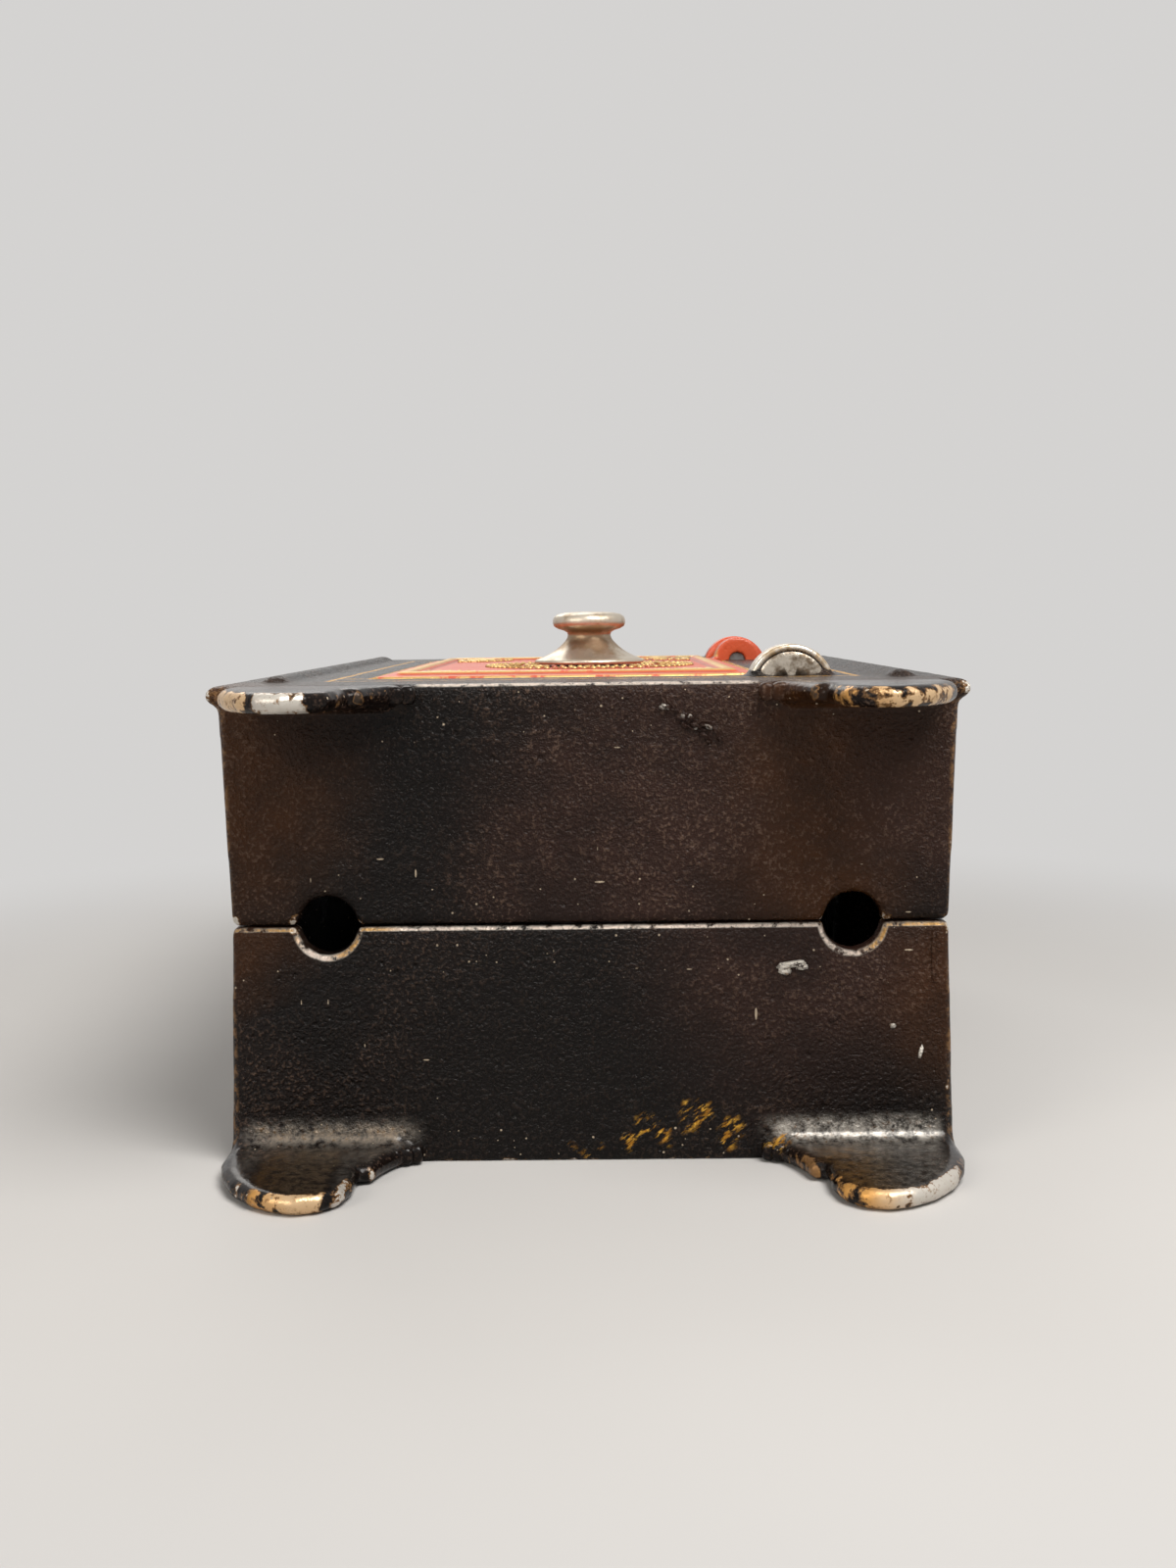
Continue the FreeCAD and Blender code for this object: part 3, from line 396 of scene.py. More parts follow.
def cast_skin(node, voxel, rounding, unevenness, keep, lumps=()):
    """A casting's solid with rounded edges, uneven faces and lumps."""
    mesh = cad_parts[node].data.copy()
    merged = bmesh.new()
    merged.from_mesh(mesh)
    bmesh.ops.remove_doubles(merged, verts=merged.verts, dist=1e-6)
    merged.to_mesh(mesh)
    merged.free()
    blank = bpy.data.objects.new(node + "_blank", mesh)
    bpy.context.scene.collection.objects.link(blank)
    sand = blank.modifiers.new("sand", "REMESH")
    sand.mode = "VOXEL"
    sand.voxel_size = voxel
    worn = blank.modifiers.new("worn", "SMOOTH")
    worn.factor = 0.5
    worn.iterations = rounding
    swelling = bpy.data.textures.new(node + "_swelling", "CLOUDS")
    swelling.noise_scale = 0.005
    swelling.noise_depth = 2
    swell = blank.modifiers.new("swell", "DISPLACE")
    swell.texture = swelling
    swell.strength = unevenness
    swell.mid_level = 1.0
    thin = blank.modifiers.new("thin", "DECIMATE")
    thin.ratio = keep
    view = bpy.context.evaluated_depsgraph_get()
    mesh = bpy.data.meshes.new_from_object(blank.evaluated_get(view))
    bpy.data.objects.remove(blank)
    mesh.name = node + "_skin"
    mesh.materials.clear()
    mark_edges(mesh)
    add_lumps(mesh, lumps)
    for face in mesh.polygons:
        face.use_smooth = True
    skin = bpy.data.objects.new(node + "_skin", mesh)
    bpy.context.scene.collection.objects.link(skin)
    return skin


def fit(piece, body, slot, finish, *nodes):
    """Gives a piece its finish and fixes it to a body in place of its solids."""
    piece.data.materials.append(finish)
    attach(piece, body)
    if nodes:
        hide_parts(*nodes)


rear_lumps = [
    ((22.2, -46.3, 22.0), (1.8, 0.7, 0.45), -8, 0.9, 0.3),
    ((21.5, -46.3, 21.4), (0.9, 0.5, 0.6), 20, 0.6, 0.3),
    ((23.4, -46.3, 21.7), (0.8, 0.45, 0.4), 0, 0.6, 0.3),
    ((38.0, -46.3, 22.5), (0.3, 0.3, 3.5), 0, 0.35, 0.3),
    ((36.6, -46.6, 12.0), (0.25, 0.35, 0.9), 15, 0.9, 0.3),
    ((27.0, -46.5, 16.0), (0.9, 0.35, 0.4), -30, 0.2, 0.3),
    ((30.0, -46.4, 18.5), (0.5, 0.35, 0.35), 20, 0.2, 0.3),
    ((33.5, -46.5, 15.0), (0.4, 0.3, 0.3), 0, 0.5, 0.3),
]
REAR_FOOT_ENDS = ((19.6, -47.6, 0.8), (20.9, -48.1, 1.1), (22.2, -48.8, 1.1), (23.3, -49.5, 1.0))
for side in (-1, 1):
    for across, along, length in REAR_FOOT_ENDS:
        rear_lumps.append(((side * across, along, 1.2), (length, 0.9, 1.05), 0, 0.1, 0.04))
rear_skin = cast_skin(
    "rear_casting", voxel=0.0004, rounding=6, unevenness=0.00009, keep=0.37, lumps=rear_lumps
)
rear_japan = japanned_iron(
    "rear_japan",
    feet_wear=[
        (-42, SOOT, 0.1), (-39.5, SILVER, 0.3), (-37, SILVER, 0.5), (-36, SOOT, 0.2), (-35, ORANGE, 0.75),
        (-31, CREAM, 0.85), (-28, CREAM, 0.85), (-27.4, SOOT, 0.2), (-26.5, SILVER, 0.7),
        (-24.5, SILVER, 0.3), (-18, SILVER, 0.2), (18, BRONZE, 0.55), (24, BRONZE, 0.6), (25.5, ORANGE, 0.5),
        (28, ORANGE, 0.8), (30, CREAM, 0.9), (33, SILVER, 0.9), (38.5, SILVER, 0.9), (39.8, SOOT, 0.3),
        (42, SOOT, 0.2),
    ],
    gilt_spots=[
        ((4.6, -46.9, 2.2), 1.9), ((7.0, -46.9, 3.1), 2.3), ((11.6, -46.8, 5.0), 2.5),
        ((15.4, -46.9, 2.9), 2.0), ((-0.5, -46.9, 1.4), 1.4), ((20.0, -48.0, 2.5), 2.0),
    ],
    brown_stain_and_warm_light_spots=[((41, -46, 20), 16), ((-40, -46, 27), 12)],
    grey_spots=[((22, -46, 22), 22)],
    # shade spots: painted shade on the face, and clean black paint on the tops of the feet
    shade_and_clean_spots=[
        ((-4, -46, 10), 30), ((-30, -46, 21), 14), ((32, -46, 8), 14),
        ((-30, -58, 2), 12), ((30, -58, 2), 12),
    ],
    lip=(26.05, 26.8, 41.0, 1.0),
    rim_shine=1.0,
    cove_bare_and_highlight_share=0.9,
)
fit(rear_skin, "case", "black_iron", rear_japan, "rear_casting")

# Front casting
# The front half of the box, poured and japanned like the rear one, with the doorway, the rebate that the
# door shuts against, a bead down each side, two hinge lugs, scabs of iron under the plate and two gold lines.
FRONT_FOOT_ENDS = ((19.4, -47.9, 0.9), (20.9, -48.3, 1.2), (22.4, -48.9, 1.2))
scatter = np.random.default_rng(11)
scabs = []
for share in np.linspace(0, 1, 26):
    scab_across = 8.2 + 6.0 * share + scatter.normal(0, 0.5)
    scab_height = 50.9 - 3.8 * share + scatter.normal(0, 0.45)
    wall = -46.99 + 0.0297 * (50.9 - scab_height)
    scab_radius = scatter.uniform((0.25, 0.28, 0.14), (0.7, 0.5, 0.32))
    tilt, bareness = scatter.uniform((10, 0.0), (60, 0.55))
    scabs.append(((scab_across, wall, scab_height), scab_radius, tilt, bareness, 0.35))
for side in (-1, 1):
    for across, along, length in FRONT_FOOT_ENDS:
        scabs.append(((side * across, along, 52.3), (length, 0.8, 1.05), 0, 0.1, 0.04))
front_skin = cast_skin(
    "front_casting", voxel=0.0004, rounding=6, unevenness=0.00009, keep=0.37, lumps=scabs
)
front_japan = japanned_iron(
    "front_japan",
    feet_wear=[
        (-42, SOOT, 0.1), (-38.9, ORANGE, 0.75), (-37.5, CREAM, 0.85), (-34.2, CREAM, 0.8),
        (-33.6, SOOT, 0.1), (-32.8, SILVER, 0.85), (-28.2, SILVER, 0.85), (-27.2, SOOT, 0.0),
        (18, BRONZE, 0.3), (20, BRONZE, 0.5), (24, SOOT, 0.1), (25.5, ORANGE, 0.55), (31, CREAM, 0.62),
        (37, CREAM, 0.66), (38.5, SOOT, 0.2), (42, SOOT, 0.1),
    ],
    gilt_spots=[((-27.5, -29, 53.5), 3)],
    # brown spots: painted warm light in the shade of the feet
    brown_stain_and_warm_light_spots=[((-42, -46, 43), 22), ((27, -46, 44), 19), ((25, -46, 33), 16)],
    grey_spots=[((4, -46, 36), 24), ((8, -46, 50), 17), ((38, -46, 40), 14)],
    # shade spots: painted shade on the face beside and under the feet
    shade_and_clean_spots=[((-20, -46, 41), 15), ((33, -46, 48), 8), ((-22, -46, 30), 12)],
    lip=(53.05, 53.6, 19.0, 0.9),
    rim_shine=0.0,
    cove_bare_and_highlight_share=0.0,
    gold_lines=[((0.5, 7.0), (30.5, 43.5), (0.45, 53.5)), ((-2.6, 7.0), (23.6, 36.6), (0.5, 53.5))],
)
fit(front_skin, "case", "black_iron", front_japan, "front_casting")

# Hinge lugs
# The two half-round lugs stand up from the front casting and hold the hinge pins. Hands and the swinging door
# have rubbed the lower one to bright metal. The upper one has the red of the door on it.


def turned(name, profile, steps):
    """A turned piece's mesh: radius and height pairs in millimetres, swept round the Z axis."""
    shape = bmesh.new()
    ring = [shape.verts.new((radius / 1000, 0, height / 1000)) for radius, height in profile]
    edges = [shape.edges.new(pair) for pair in zip(ring, ring[1:])]
    bmesh.ops.spin(shape, geom=ring + edges, axis=(0, 0, 1), angle=math.tau, steps=steps, use_merge=True)
    bmesh.ops.remove_doubles(shape, verts=shape.verts, dist=1e-6)
    bmesh.ops.recalc_face_normals(shape, faces=shape.faces)
    for face in shape.faces:
        face.smooth = True
    mesh = bpy.data.meshes.new(name)
    shape.to_mesh(mesh)
    shape.free()
    return mesh


def show(mesh):
    """A piece at the origin made of a mesh that is already in its place."""
    piece = bpy.data.objects.new(mesh.name, mesh)
    bpy.context.scene.collection.objects.link(piece)
    return piece


def vary(tree, shader, socket, mask, share, least):
    """Lets a socket of the shader follow a mask, from least up by the share."""
    tree.links.new(calc(tree, "MULTIPLY_ADD", mask, share, least), shader.inputs[socket])


LUG_PROFILE = [
    (0.0, 0.0), (4.9, 0.0), (5.08, 0.2), (5.08, 3.5), (4.98, 3.8), (4.78, 3.95), (4.55, 3.95), (4.36, 3.88),
    (4.28, 3.8), (4.2, 3.8), (4.1, 3.88), (3.6, 3.98), (2.6, 4.08), (1.3, 4.14), (0.0, 4.16),
]
LUG_ACROSS, LUG_MIDDLE, LUG_FOOT = 23.8, 52.05, 53.3
rubbed, rubbed_tree, rubbed_shader = new_finish("rubbed_iron")
rubbed_place = millimetres(rubbed_tree)
rubbed_across, rubbed_along, rubbed_height = sides(rubbed_tree, rubbed_place)
rubbed_x = calc(rubbed_tree, "SUBTRACT", rubbed_across, LUG_ACROSS)
rubbed_z = calc(rubbed_tree, "SUBTRACT", rubbed_height, LUG_MIDDLE)
rubbed_square = calc(rubbed_tree, "MULTIPLY_ADD", rubbed_x, rubbed_x, both(rubbed_tree, rubbed_z, rubbed_z))
rubbed_radius = calc(rubbed_tree, "SQRT", rubbed_square)
rubbed_stain = mottle(rubbed_tree, rubbed_place, 0.8, 4.0, 0.62)
rubbed_rim = fade(rubbed_tree, rubbed_radius, 4.25, 4.4)
rubbed_groove = both(
    rubbed_tree, fade(rubbed_tree, rubbed_radius, 4.16, 4.22), fade(rubbed_tree, rubbed_radius, 4.34, 4.28)
)
rubbed_face = tint(
    rubbed_tree, fade(rubbed_tree, rubbed_stain, 0.4, 0.66), (0.55, 0.49, 0.41, 1), (0.16, 0.115, 0.075, 1)
)
rubbed_edge = tint(
    rubbed_tree, fade(rubbed_tree, rubbed_stain, 0.45, 0.66), (0.78, 0.71, 0.61, 1), (0.5, 0.37, 0.23, 1)
)
rubbed_colour = tint(rubbed_tree, rubbed_rim, rubbed_face, rubbed_edge)
rubbed_colour = tint(rubbed_tree, rubbed_groove, rubbed_colour, (0.2, 0.155, 0.115, 1))
rubbed_red = fade(rubbed_tree, rubbed_along, 20.0, 21.0)
rubbed_colour = tint(rubbed_tree, rubbed_red, rubbed_colour, (0.60, 0.09, 0.032, 1))
rubbed_tree.links.new(rubbed_colour, rubbed_shader.inputs["Base Color"])
rubbed_dull = strongest(rubbed_tree, rubbed_groove, rubbed_red)
vary(rubbed_tree, rubbed_shader, "Metallic", rubbed_dull, -0.7, 0.75)
vary(rubbed_tree, rubbed_shader, "Roughness", rubbed_stain, 0.4, 0.08)
set_bump(rubbed_tree, rubbed_shader, mottle(rubbed_tree, rubbed_place, 1.8, 3.0), 0.35, 0.00015)
for name, foot, turn in (("lower_lug", -29.4, 90), ("upper_lug", 43.4, -90)):
    lug_mesh = turned(name, LUG_PROFILE, 72)
    lug_place = Vector((LUG_ACROSS, foot, LUG_MIDDLE)) / 1000
    lug_mesh.transform(Matrix.Translation(lug_place) @ Matrix.Rotation(math.radians(turn), 4, "X"))
    lug_half = bmesh.new()
    lug_half.from_mesh(lug_mesh)
    lug_cut = bmesh.ops.bisect_plane(
        lug_half, geom=lug_half.verts[:] + lug_half.edges[:] + lug_half.faces[:],
        plane_co=(0, 0, LUG_FOOT / 1000), plane_no=(0, 0, 1), clear_inner=True,
    )
    cut_edges = [cut for cut in lug_cut["geom_cut"] if isinstance(cut, bmesh.types.BMEdge)]
    bmesh.ops.holes_fill(lug_half, edges=cut_edges)
    lug_half.to_mesh(lug_mesh)
    lug_half.free()
    fit(show(lug_mesh), "case", "black_iron", rubbed)

# Body screws, keeper and its screws, hinge pins, lock pegs, spindle, washer and nut
# Plain mild steel, turned or stamped and left bare. The long screws hold the halves together from the back,
# and the short ones hold the keeper under the rebate.
steel, steel_tree, steel_shader = new_finish("dull_steel")
steel_place = millimetres(steel_tree)
steel_stain = mottle(steel_tree, steel_place, 0.5, 4.0, 0.6)
steel_rust = fade(steel_tree, steel_stain, 0.45, 0.7)
steel_colour = tint(steel_tree, steel_rust, (0.42, 0.41, 0.4, 1), (0.24, 0.17, 0.12, 1))
steel_tree.links.new(steel_colour, steel_shader.inputs["Base Color"])
vary(steel_tree, steel_shader, "Roughness", steel_stain, 0.4, 0.2)
steel_shader.inputs["Metallic"].default_value = 1.0
set_bump(steel_tree, steel_shader, mottle(steel_tree, steel_place, 4.0, 2.0), 0.3, 0.0001)
for node in (
    "body_screws", "keeper", "keeper_screws", "hinge_pin_lower", "hinge_pin_upper",
    "spindle", "driver_peg", "middle_pegs", "rear_peg", "end_washer", "spindle_nut",
):
    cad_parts[node].data.materials.clear()
    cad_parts[node].data.materials.append(steel)

# Lock wheels and spacers
# Stamped brass discs on the spindle behind the door, each with a gate for the keeper. They are never seen
# with the door shut, and have gone dull and brown.
brass, brass_tree, brass_shader = new_finish("dull_brass")
brass_place = millimetres(brass_tree)
brass_stain = mottle(brass_tree, brass_place, 0.25, 5.0, 0.6)
brass_tarnish = fade(brass_tree, brass_stain, 0.4, 0.68)
brass_colour = tint(brass_tree, brass_tarnish, (0.6, 0.45, 0.22, 1), (0.3, 0.19, 0.08, 1))
brass_tree.links.new(brass_colour, brass_shader.inputs["Base Color"])
vary(brass_tree, brass_shader, "Roughness", brass_stain, 0.35, 0.2)
brass_shader.inputs["Metallic"].default_value = 1.0
set_bump(brass_tree, brass_shader, mottle(brass_tree, brass_place, 3.0, 3.0), 0.25, 0.0001)
for node in ("driver_wheel", "middle_spacer", "middle_tumbler", "rear_spacer", "rear_tumbler"):
    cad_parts[node].data.materials.clear()
    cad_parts[node].data.materials.append(brass)

# Door
# A thin iron casting in red enamel with a raised border, hung on two knuckles. Gilt lies on the border and
# the edge, rubbed through in places, and the enamel is darker in the hollows.
door_skin = cast_skin("door", voxel=0.0003, rounding=2, unevenness=0.00005, keep=0.9)
enamel, enamel_tree, enamel_shader = new_finish("red_enamel")
enamel_place = millimetres(enamel_tree)
enamel_across, enamel_along, enamel_height = sides(enamel_tree, enamel_place)
enamel_loss = use_effect(enamel_tree, paint_loss, {"Amount": 0.0, "Chip scale": 0.6})
enamel_grain = use_effect(enamel_tree, sand_grain, {"Pit share": 0.2})
enamel_cloud = mottle(enamel_tree, enamel_place, 0.15, 4.0, 0.6)
enamel_rub = mottle(enamel_tree, enamel_place, 0.5, 4.0, 0.65)
enamel_colour = tint(enamel_tree, enamel_cloud, (0.66, 0.11, 0.037, 1), (0.50, 0.065, 0.023, 1))
enamel_panel = fade(enamel_tree, enamel_across, 20.9, 20.3)
enamel_raised = both(enamel_tree, enamel_panel, fade(enamel_tree, enamel_height, 53.9, 54.05))
enamel_rim = strongest(
    enamel_tree, fade(enamel_tree, enamel_along, -28.4, -28.8), fade(enamel_tree, enamel_along, 42.4, 42.8),
    fade(enamel_tree, enamel_across, -25.0, -25.4),
)
enamel_rim = both(enamel_tree, enamel_panel, enamel_rim, fade(enamel_tree, enamel_height, 52.6, 52.9))
enamel_gilt = both(
    enamel_tree, strongest(enamel_tree, enamel_raised, enamel_rim), fade(enamel_tree, enamel_rub, 0.36, 0.46)
)
enamel_bare = both(enamel_tree, enamel_loss["Bare"], enamel_panel, 0.8)
enamel_hollow_darkening = both(enamel_tree, enamel_loss["Hollow"], 0.8)
enamel_colour = tint(enamel_tree, enamel_hollow_darkening, enamel_colour, (0.06, 0.022, 0.012, 1))
enamel_colour = tint(enamel_tree, enamel_bare, enamel_colour, (0.62, 0.47, 0.33, 1))
enamel_colour = tint(enamel_tree, enamel_gilt, enamel_colour, (0.62, 0.40, 0.14, 1))
enamel_tree.links.new(enamel_colour, enamel_shader.inputs["Base Color"])
enamel_metal = strongest(enamel_tree, enamel_gilt, enamel_bare)
enamel_tree.links.new(both(enamel_tree, enamel_metal, 0.6), enamel_shader.inputs["Metallic"])
vary(enamel_tree, enamel_shader, "Roughness", enamel_cloud, 0.25, 0.24)
set_bump(enamel_tree, enamel_shader, enamel_grain["Height"], 0.4, 0.00015)
fit(door_skin, "door", "red_iron", enamel, "door")

# Door relief
# Raised lines cast with the door: two beaded rings and tick marks round the knob with plain numbers between,
# and a small fan of leaves in each corner. They are gilded, and rubbed down to the red in places.
relief_row = bpy.data.node_groups.new("relief_row", "GeometryNodeTree")
relief_sockets = {}
for socket, kind in (
    ("Count", "Int"), ("Radius", "Float"), ("Start", "Float"), ("Sweep", "Float"), ("Leaf", "Vector"),
    ("Rail", "Float"), ("Finish", "Material"),
):
    relief_sockets[socket] = relief_row.interface.new_socket(
        socket, in_out="INPUT", socket_type="NodeSocket" + kind
    ).identifier
relief_row.interface.new_socket("Geometry", in_out="OUTPUT", socket_type="NodeSocketGeometry")
row_in = relief_row.nodes.new("NodeGroupInput").outputs
row_arc = {"Radius": row_in["Radius"], "Start Angle": row_in["Start"], "Sweep Angle": row_in["Sweep"]}
row_path = add_node(
    relief_row, "GeometryNodeCurveArc", {"Resolution": row_in["Count"], **row_arc}
).outputs["Curve"]
row_leaf = add_node(relief_row, "GeometryNodeMeshUVSphere", {"Segments": 12, "Rings": 8, "Radius": 1.0})
row_leaf = add_node(
    relief_row, "GeometryNodeTransform", {"Geometry": row_leaf.outputs["Mesh"], "Scale": row_in["Leaf"]}
).outputs[0]
row_out_from_middle = add_node(
    relief_row, "FunctionNodeAlignRotationToVector",
    {"Vector": add_node(relief_row, "GeometryNodeInputPosition").outputs[0]}, axis="X",
).outputs[0]
row_leaves = add_node(
    relief_row, "GeometryNodeInstanceOnPoints",
    {"Points": row_path, "Instance": row_leaf, "Rotation": row_out_from_middle},
).outputs[0]
row_smooth_path = add_node(relief_row, "GeometryNodeCurveArc", {"Resolution": 96, **row_arc}).outputs["Curve"]
row_round = add_node(
    relief_row, "GeometryNodeCurvePrimitiveCircle", {"Resolution": 8, "Radius": row_in["Rail"]}
)
row_rail = add_node(
    relief_row, "GeometryNodeCurveToMesh",
    {"Curve": row_smooth_path, "Profile Curve": row_round.outputs["Curve"], "Fill Caps": True},
).outputs[0]
row_all = relief_row.nodes.new("GeometryNodeJoinGeometry")
relief_row.links.new(row_leaves, row_all.inputs[0])
relief_row.links.new(row_rail, row_all.inputs[0])
row_all = add_node(relief_row, "GeometryNodeRealizeInstances", {"Geometry": row_all.outputs[0]}).outputs[0]
row_all = add_node(
    relief_row, "GeometryNodeSetMaterial", {"Geometry": row_all, "Material": row_in["Finish"]}
).outputs[0]
relief_row.links.new(row_all, relief_row.nodes.new("NodeGroupOutput").inputs[0])

gilt, gilt_tree, gilt_shader = new_finish("worn_gilt")
gilt_place = millimetres(gilt_tree)
gilt_rub = mottle(gilt_tree, gilt_place, 0.6, 4.0, 0.65)
gilt_height = sides(gilt_tree, gilt_place)[2]
gilt_kept = both(gilt_tree, fade(gilt_tree, gilt_rub, 0.34, 0.44), fade(gilt_tree, gilt_height, 53.7, 53.85))
gilt_gold = tint(gilt_tree, fade(gilt_tree, gilt_rub, 0.5, 0.7), (0.62, 0.42, 0.16, 1), (0.42, 0.24, 0.08, 1))
gilt_colour = tint(gilt_tree, gilt_kept, (0.36, 0.06, 0.025, 1), gilt_gold)
gilt_tree.links.new(gilt_colour, gilt_shader.inputs["Base Color"])
gilt_tree.links.new(both(gilt_tree, gilt_kept, 0.7), gilt_shader.inputs["Metallic"])
vary(gilt_tree, gilt_shader, "Roughness", gilt_rub, 0.3, 0.2)
set_bump(gilt_tree, gilt_shader, mottle(gilt_tree, gilt_place, 2.5, 3.0), 0.3, 0.0001)

relief = bmesh.new()
DIAL = (0.0, 7.0)
PANEL_HEIGHT, NUMBER_HEIGHT, NUMBER_RING = 53.7, 53.8, 11.1
CORNERS = ((-21.0, -24.4, 0), (15.8, -24.4, 90), (15.8, 38.4, 180), (-21.0, 38.4, 270))
rows = [
    (DIAL, 44, 8.9, 0, 360 * 43 / 44, (0.42, 0.42, 0.36), 0.0),
    (DIAL, 70, 14.4, 0, 360 * 69 / 70, (0.42, 0.42, 0.36), 0.0),
    (DIAL, 50, 13.2, 0, 360 * 49 / 50, (0.55, 0.14, 0.26), 0.0),
]
for corner_x, corner_y, turn in CORNERS:
    rows.append(((corner_x, corner_y), 5, 4.6, turn + 8, 74, (2.5, 0.72, 0.42), 0.0))
    rows.append(((corner_x, corner_y), 9, 8.2, turn + 4, 82, (0.4, 0.4, 0.36), 0.2))
    rows.append(((corner_x, corner_y), 3, 1.3, turn + 10, 70, (0.5, 0.5, 0.4), 0.0))
for middle, count, radius, start, sweep, leaf, rail in rows:
    row = show(bpy.data.meshes.new("relief_row"))
    maker = row.modifiers.new("relief_row", "NODES")
    maker.node_group = relief_row
    for socket, value in (
        ("Count", count), ("Radius", radius / 1000), ("Start", math.radians(start)),
        ("Sweep", math.radians(sweep)), ("Leaf", tuple(size / 1000 for size in leaf)),
        ("Rail", max(rail, 0.02) / 1000), ("Finish", gilt),
    ):
        maker[relief_sockets[socket]] = value
    made = bpy.data.meshes.new_from_object(row.evaluated_get(bpy.context.evaluated_depsgraph_get()))
    made.transform(Matrix.Translation(Vector((*middle, PANEL_HEIGHT)) / 1000))
    relief.from_mesh(made)
    bpy.data.objects.remove(row)
for number in range(10):
    figure = bpy.data.curves.new("number", "FONT")
    figure.body = str(number)
    figure.size = 0.0029
    figure.extrude = 0.00018
    figure.bevel_depth = 0.00008
    figure.align_x = "CENTER"
    figure.align_y = "CENTER"
    sign = bpy.data.objects.new("number", figure)
    bpy.context.scene.collection.objects.link(sign)
    made = bpy.data.meshes.new_from_object(sign.evaluated_get(bpy.context.evaluated_depsgraph_get()))
    turn = math.radians(-36 * number)
    made.transform(
        Matrix.Translation(Vector((*DIAL, NUMBER_HEIGHT)) / 1000) @ Matrix.Rotation(turn, 4, "Z")
        @ Matrix.Translation((0, NUMBER_RING / 1000, 0))
    )
    relief.from_mesh(made)
    bpy.data.objects.remove(sign)
for face in relief.faces:
    face.smooth = True
    face.material_index = 0
relief_mesh = bpy.data.meshes.new("door_relief")
relief.to_mesh(relief_mesh)
relief.free()
fit(show(relief_mesh), "door", "red_iron", gilt)

# Knob
# Turned and nickel plated: a flared foot, a waist and a rounded disc, pressed on the spindle. The plating has
# tarnished brown in the waist and under the disc.
knob_low, knob_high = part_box("knob")
KNOB_PROFILE = [
    (0.0, 0.0), (7.3, 0.0), (7.7, 0.12), (7.78, 0.38), (7.55, 0.62), (6.9, 0.85), (6.2, 1.12), (5.45, 1.5),
    (4.8, 1.92), (4.25, 2.35), (3.84, 2.75), (3.4, 3.2), (3.12, 3.65), (3.03, 4.05), (3.12, 4.4), (3.6, 4.68),
    (4.4, 4.92), (4.95, 5.25), (5.13, 5.7), (5.13, 6.15), (4.95, 6.6), (4.45, 6.95), (3.4, 7.18), (1.8, 7.27),
    (0.0, 7.29),
]
knob_mesh = turned("turned_knob", KNOB_PROFILE, 96)
knob_mesh.transform(
    Matrix.Translation(((knob_low.x + knob_high.x) / 2, (knob_low.y + knob_high.y) / 2, knob_low.z))
)
nickel, nickel_tree, nickel_shader = new_finish("tarnished_nickel")
nickel_place = millimetres(nickel_tree)
nickel_height = sides(nickel_tree, nickel_place)[2]
nickel_stain = mottle(nickel_tree, nickel_place, 0.35, 5.0, 0.62)
nickel_waist = both(
    nickel_tree, fade(nickel_tree, nickel_height, 55.0, 57.0), fade(nickel_tree, nickel_height, 59.7, 58.9)
)
nickel_tarnish = calc(nickel_tree, "MULTIPLY_ADD", nickel_waist, 0.25, nickel_stain)
nickel_tarnish = fade(nickel_tree, nickel_tarnish, 0.46, 0.72)
nickel_colour = tint(nickel_tree, nickel_tarnish, (0.62, 0.55, 0.45, 1), (0.36, 0.26, 0.165, 1))
nickel_tree.links.new(nickel_colour, nickel_shader.inputs["Base Color"])
vary(nickel_tree, nickel_shader, "Roughness", nickel_stain, 0.4, 0.2)
nickel_shader.inputs["Metallic"].default_value = 0.9
set_bump(nickel_tree, nickel_shader, mottle(nickel_tree, nickel_place, 1.5, 3.0), 0.2, 0.0002)
fit(show(knob_mesh), "dial", "nickel", nickel, "knob")

# Studio
# A plain pale table top that fades into the backdrop, a soft lamp close above and broad weak ones from behind
# and from the front left, seen from just above the table with the underside of the safe towards the camera.
BACKDROP = (0.66, 0.65, 0.64, 1)
paper, paper_tree, paper_shader = new_finish("pale_paper")
paper_place = millimetres(paper_tree)
paper_cloud = mottle(paper_tree, paper_place, 0.02, 4.0)
paper_colour = tint(paper_tree, paper_cloud, (0.56, 0.55, 0.54, 1), (0.59, 0.58, 0.57, 1))
paper_shader.inputs["Roughness"].default_value = 0.9
paper_rays = add_node(paper_tree, "ShaderNodeLightPath").outputs
paper_tree.links.new(paper_colour, paper_shader.inputs["Base Color"])
paper_seen = strongest(
    paper_tree, paper_rays["Is Camera Ray"], paper_rays["Is Glossy Ray"], paper_rays["Is Transmission Ray"]
)
paper_away = add_node(paper_tree, "ShaderNodeVectorMath", {0: paper_place}, operation="LENGTH")
paper_far = both(paper_tree, fade(paper_tree, paper_away.outputs["Value"], 85.0, 210.0), paper_seen)
paper_glow = add_node(paper_tree, "ShaderNodeEmission", {"Color": BACKDROP}).outputs[0]
paper_mix = add_node(
    paper_tree, "ShaderNodeMixShader", {0: paper_far, 1: paper_shader.outputs[0], 2: paper_glow}
).outputs[0]
paper_tree.links.new(paper_mix, paper_tree.nodes["Material Output"].inputs["Surface"])
table = bpy.data.meshes.new("table_top")
table.from_pydata([(-6, -6, 0), (6, -6, 0), (6, 6, 0), (-6, 6, 0)], [], [(0, 1, 2, 3)])
table.materials.append(paper)
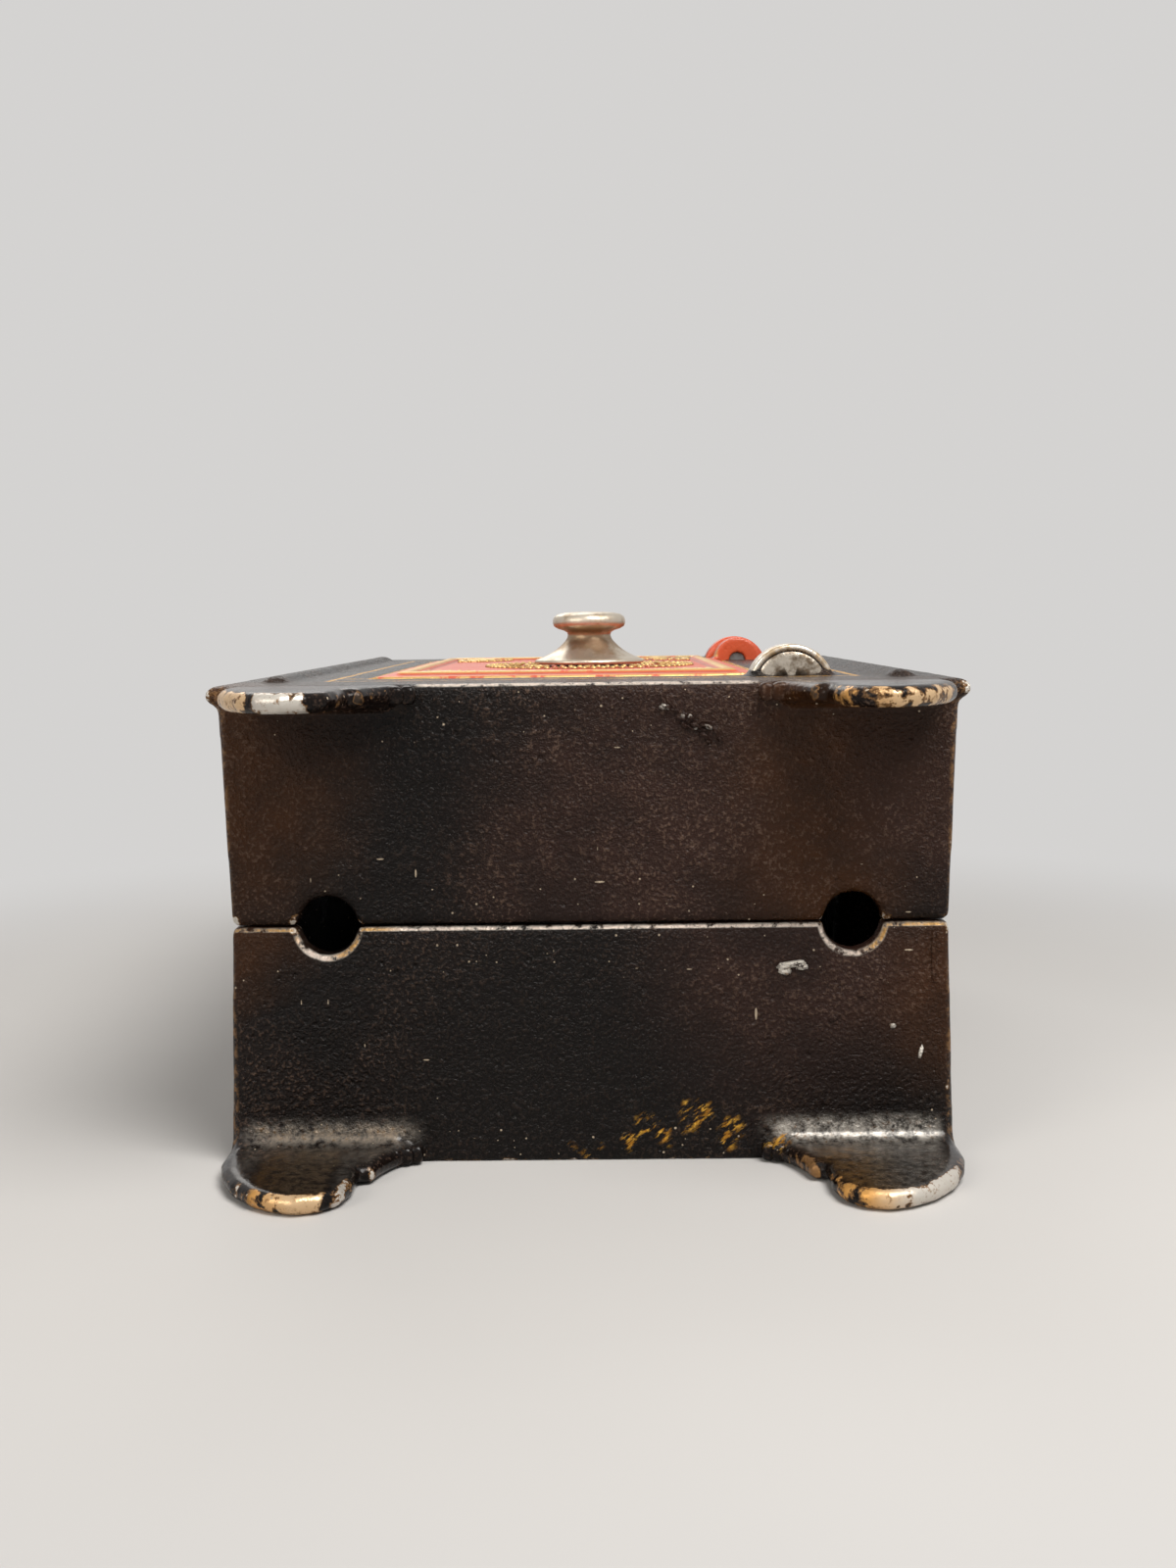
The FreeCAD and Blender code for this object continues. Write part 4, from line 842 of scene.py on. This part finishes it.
show(table)

world = bpy.context.scene.world or bpy.data.worlds.new("room")
bpy.context.scene.world = world
world.use_nodes = True
sky = world.node_tree
sky.nodes["Background"].inputs["Color"].default_value = BACKDROP
rays = add_node(sky, "ShaderNodeLightPath").outputs
seen = strongest(sky, rays["Is Camera Ray"], rays["Is Glossy Ray"], rays["Is Transmission Ray"])
sky.links.new(calc(sky, "MULTIPLY_ADD", seen, 0.65, 0.35), sky.nodes["Background"].inputs["Strength"])


def soft_lamp(name, place, target, width, power, colour):
    lamp = bpy.data.lights.new(name, "AREA")
    lamp.shape = "DISK"
    lamp.size = width
    lamp.energy = power
    lamp.color = colour
    holder = bpy.data.objects.new(name, lamp)
    holder.location = place
    holder.rotation_euler = (Vector(target) - Vector(place)).to_track_quat("-Z", "Y").to_euler()
    bpy.context.scene.collection.objects.link(holder)


soft_lamp("near_lamp", (0.12, -0.18, 0.34), (0, -0.03, 0.03), 0.22, 1.5, (1.0, 0.97, 0.93))
soft_lamp("back_lamp", (-0.2, 0.7, 0.6), (0, 0, 0.03), 0.6, 2.0, (1.0, 0.97, 0.93))
soft_lamp("fill_lamp", (-0.7, -0.7, 0.5), (0, 0, 0.03), 0.6, 3.0, (1.0, 0.93, 0.84))

pitch, heading, roll = math.radians(5.967), math.radians(-0.395), math.radians(-0.661)
ahead = Vector((math.sin(heading) * math.cos(pitch), math.cos(heading) * math.cos(pitch), -math.sin(pitch)))
right = ahead.cross(Vector((0, 0, 1))).normalized()
up = right.cross(ahead)
right, up = right * math.cos(roll) + up * math.sin(roll), up * math.cos(roll) - right * math.sin(roll)
lens = bpy.data.cameras.new("camera")
lens.sensor_width = 36
lens.lens = 36.4
lens.clip_start = 0.01
camera = bpy.data.objects.new("camera", lens)
camera.matrix_world = Matrix((right, up, -ahead)).transposed().to_4x4()
camera.location = (0.00115, -0.21909, 0.06037)
bpy.context.scene.collection.objects.link(camera)
bpy.context.scene.camera = camera
bpy.context.scene.view_settings.view_transform = "Standard"
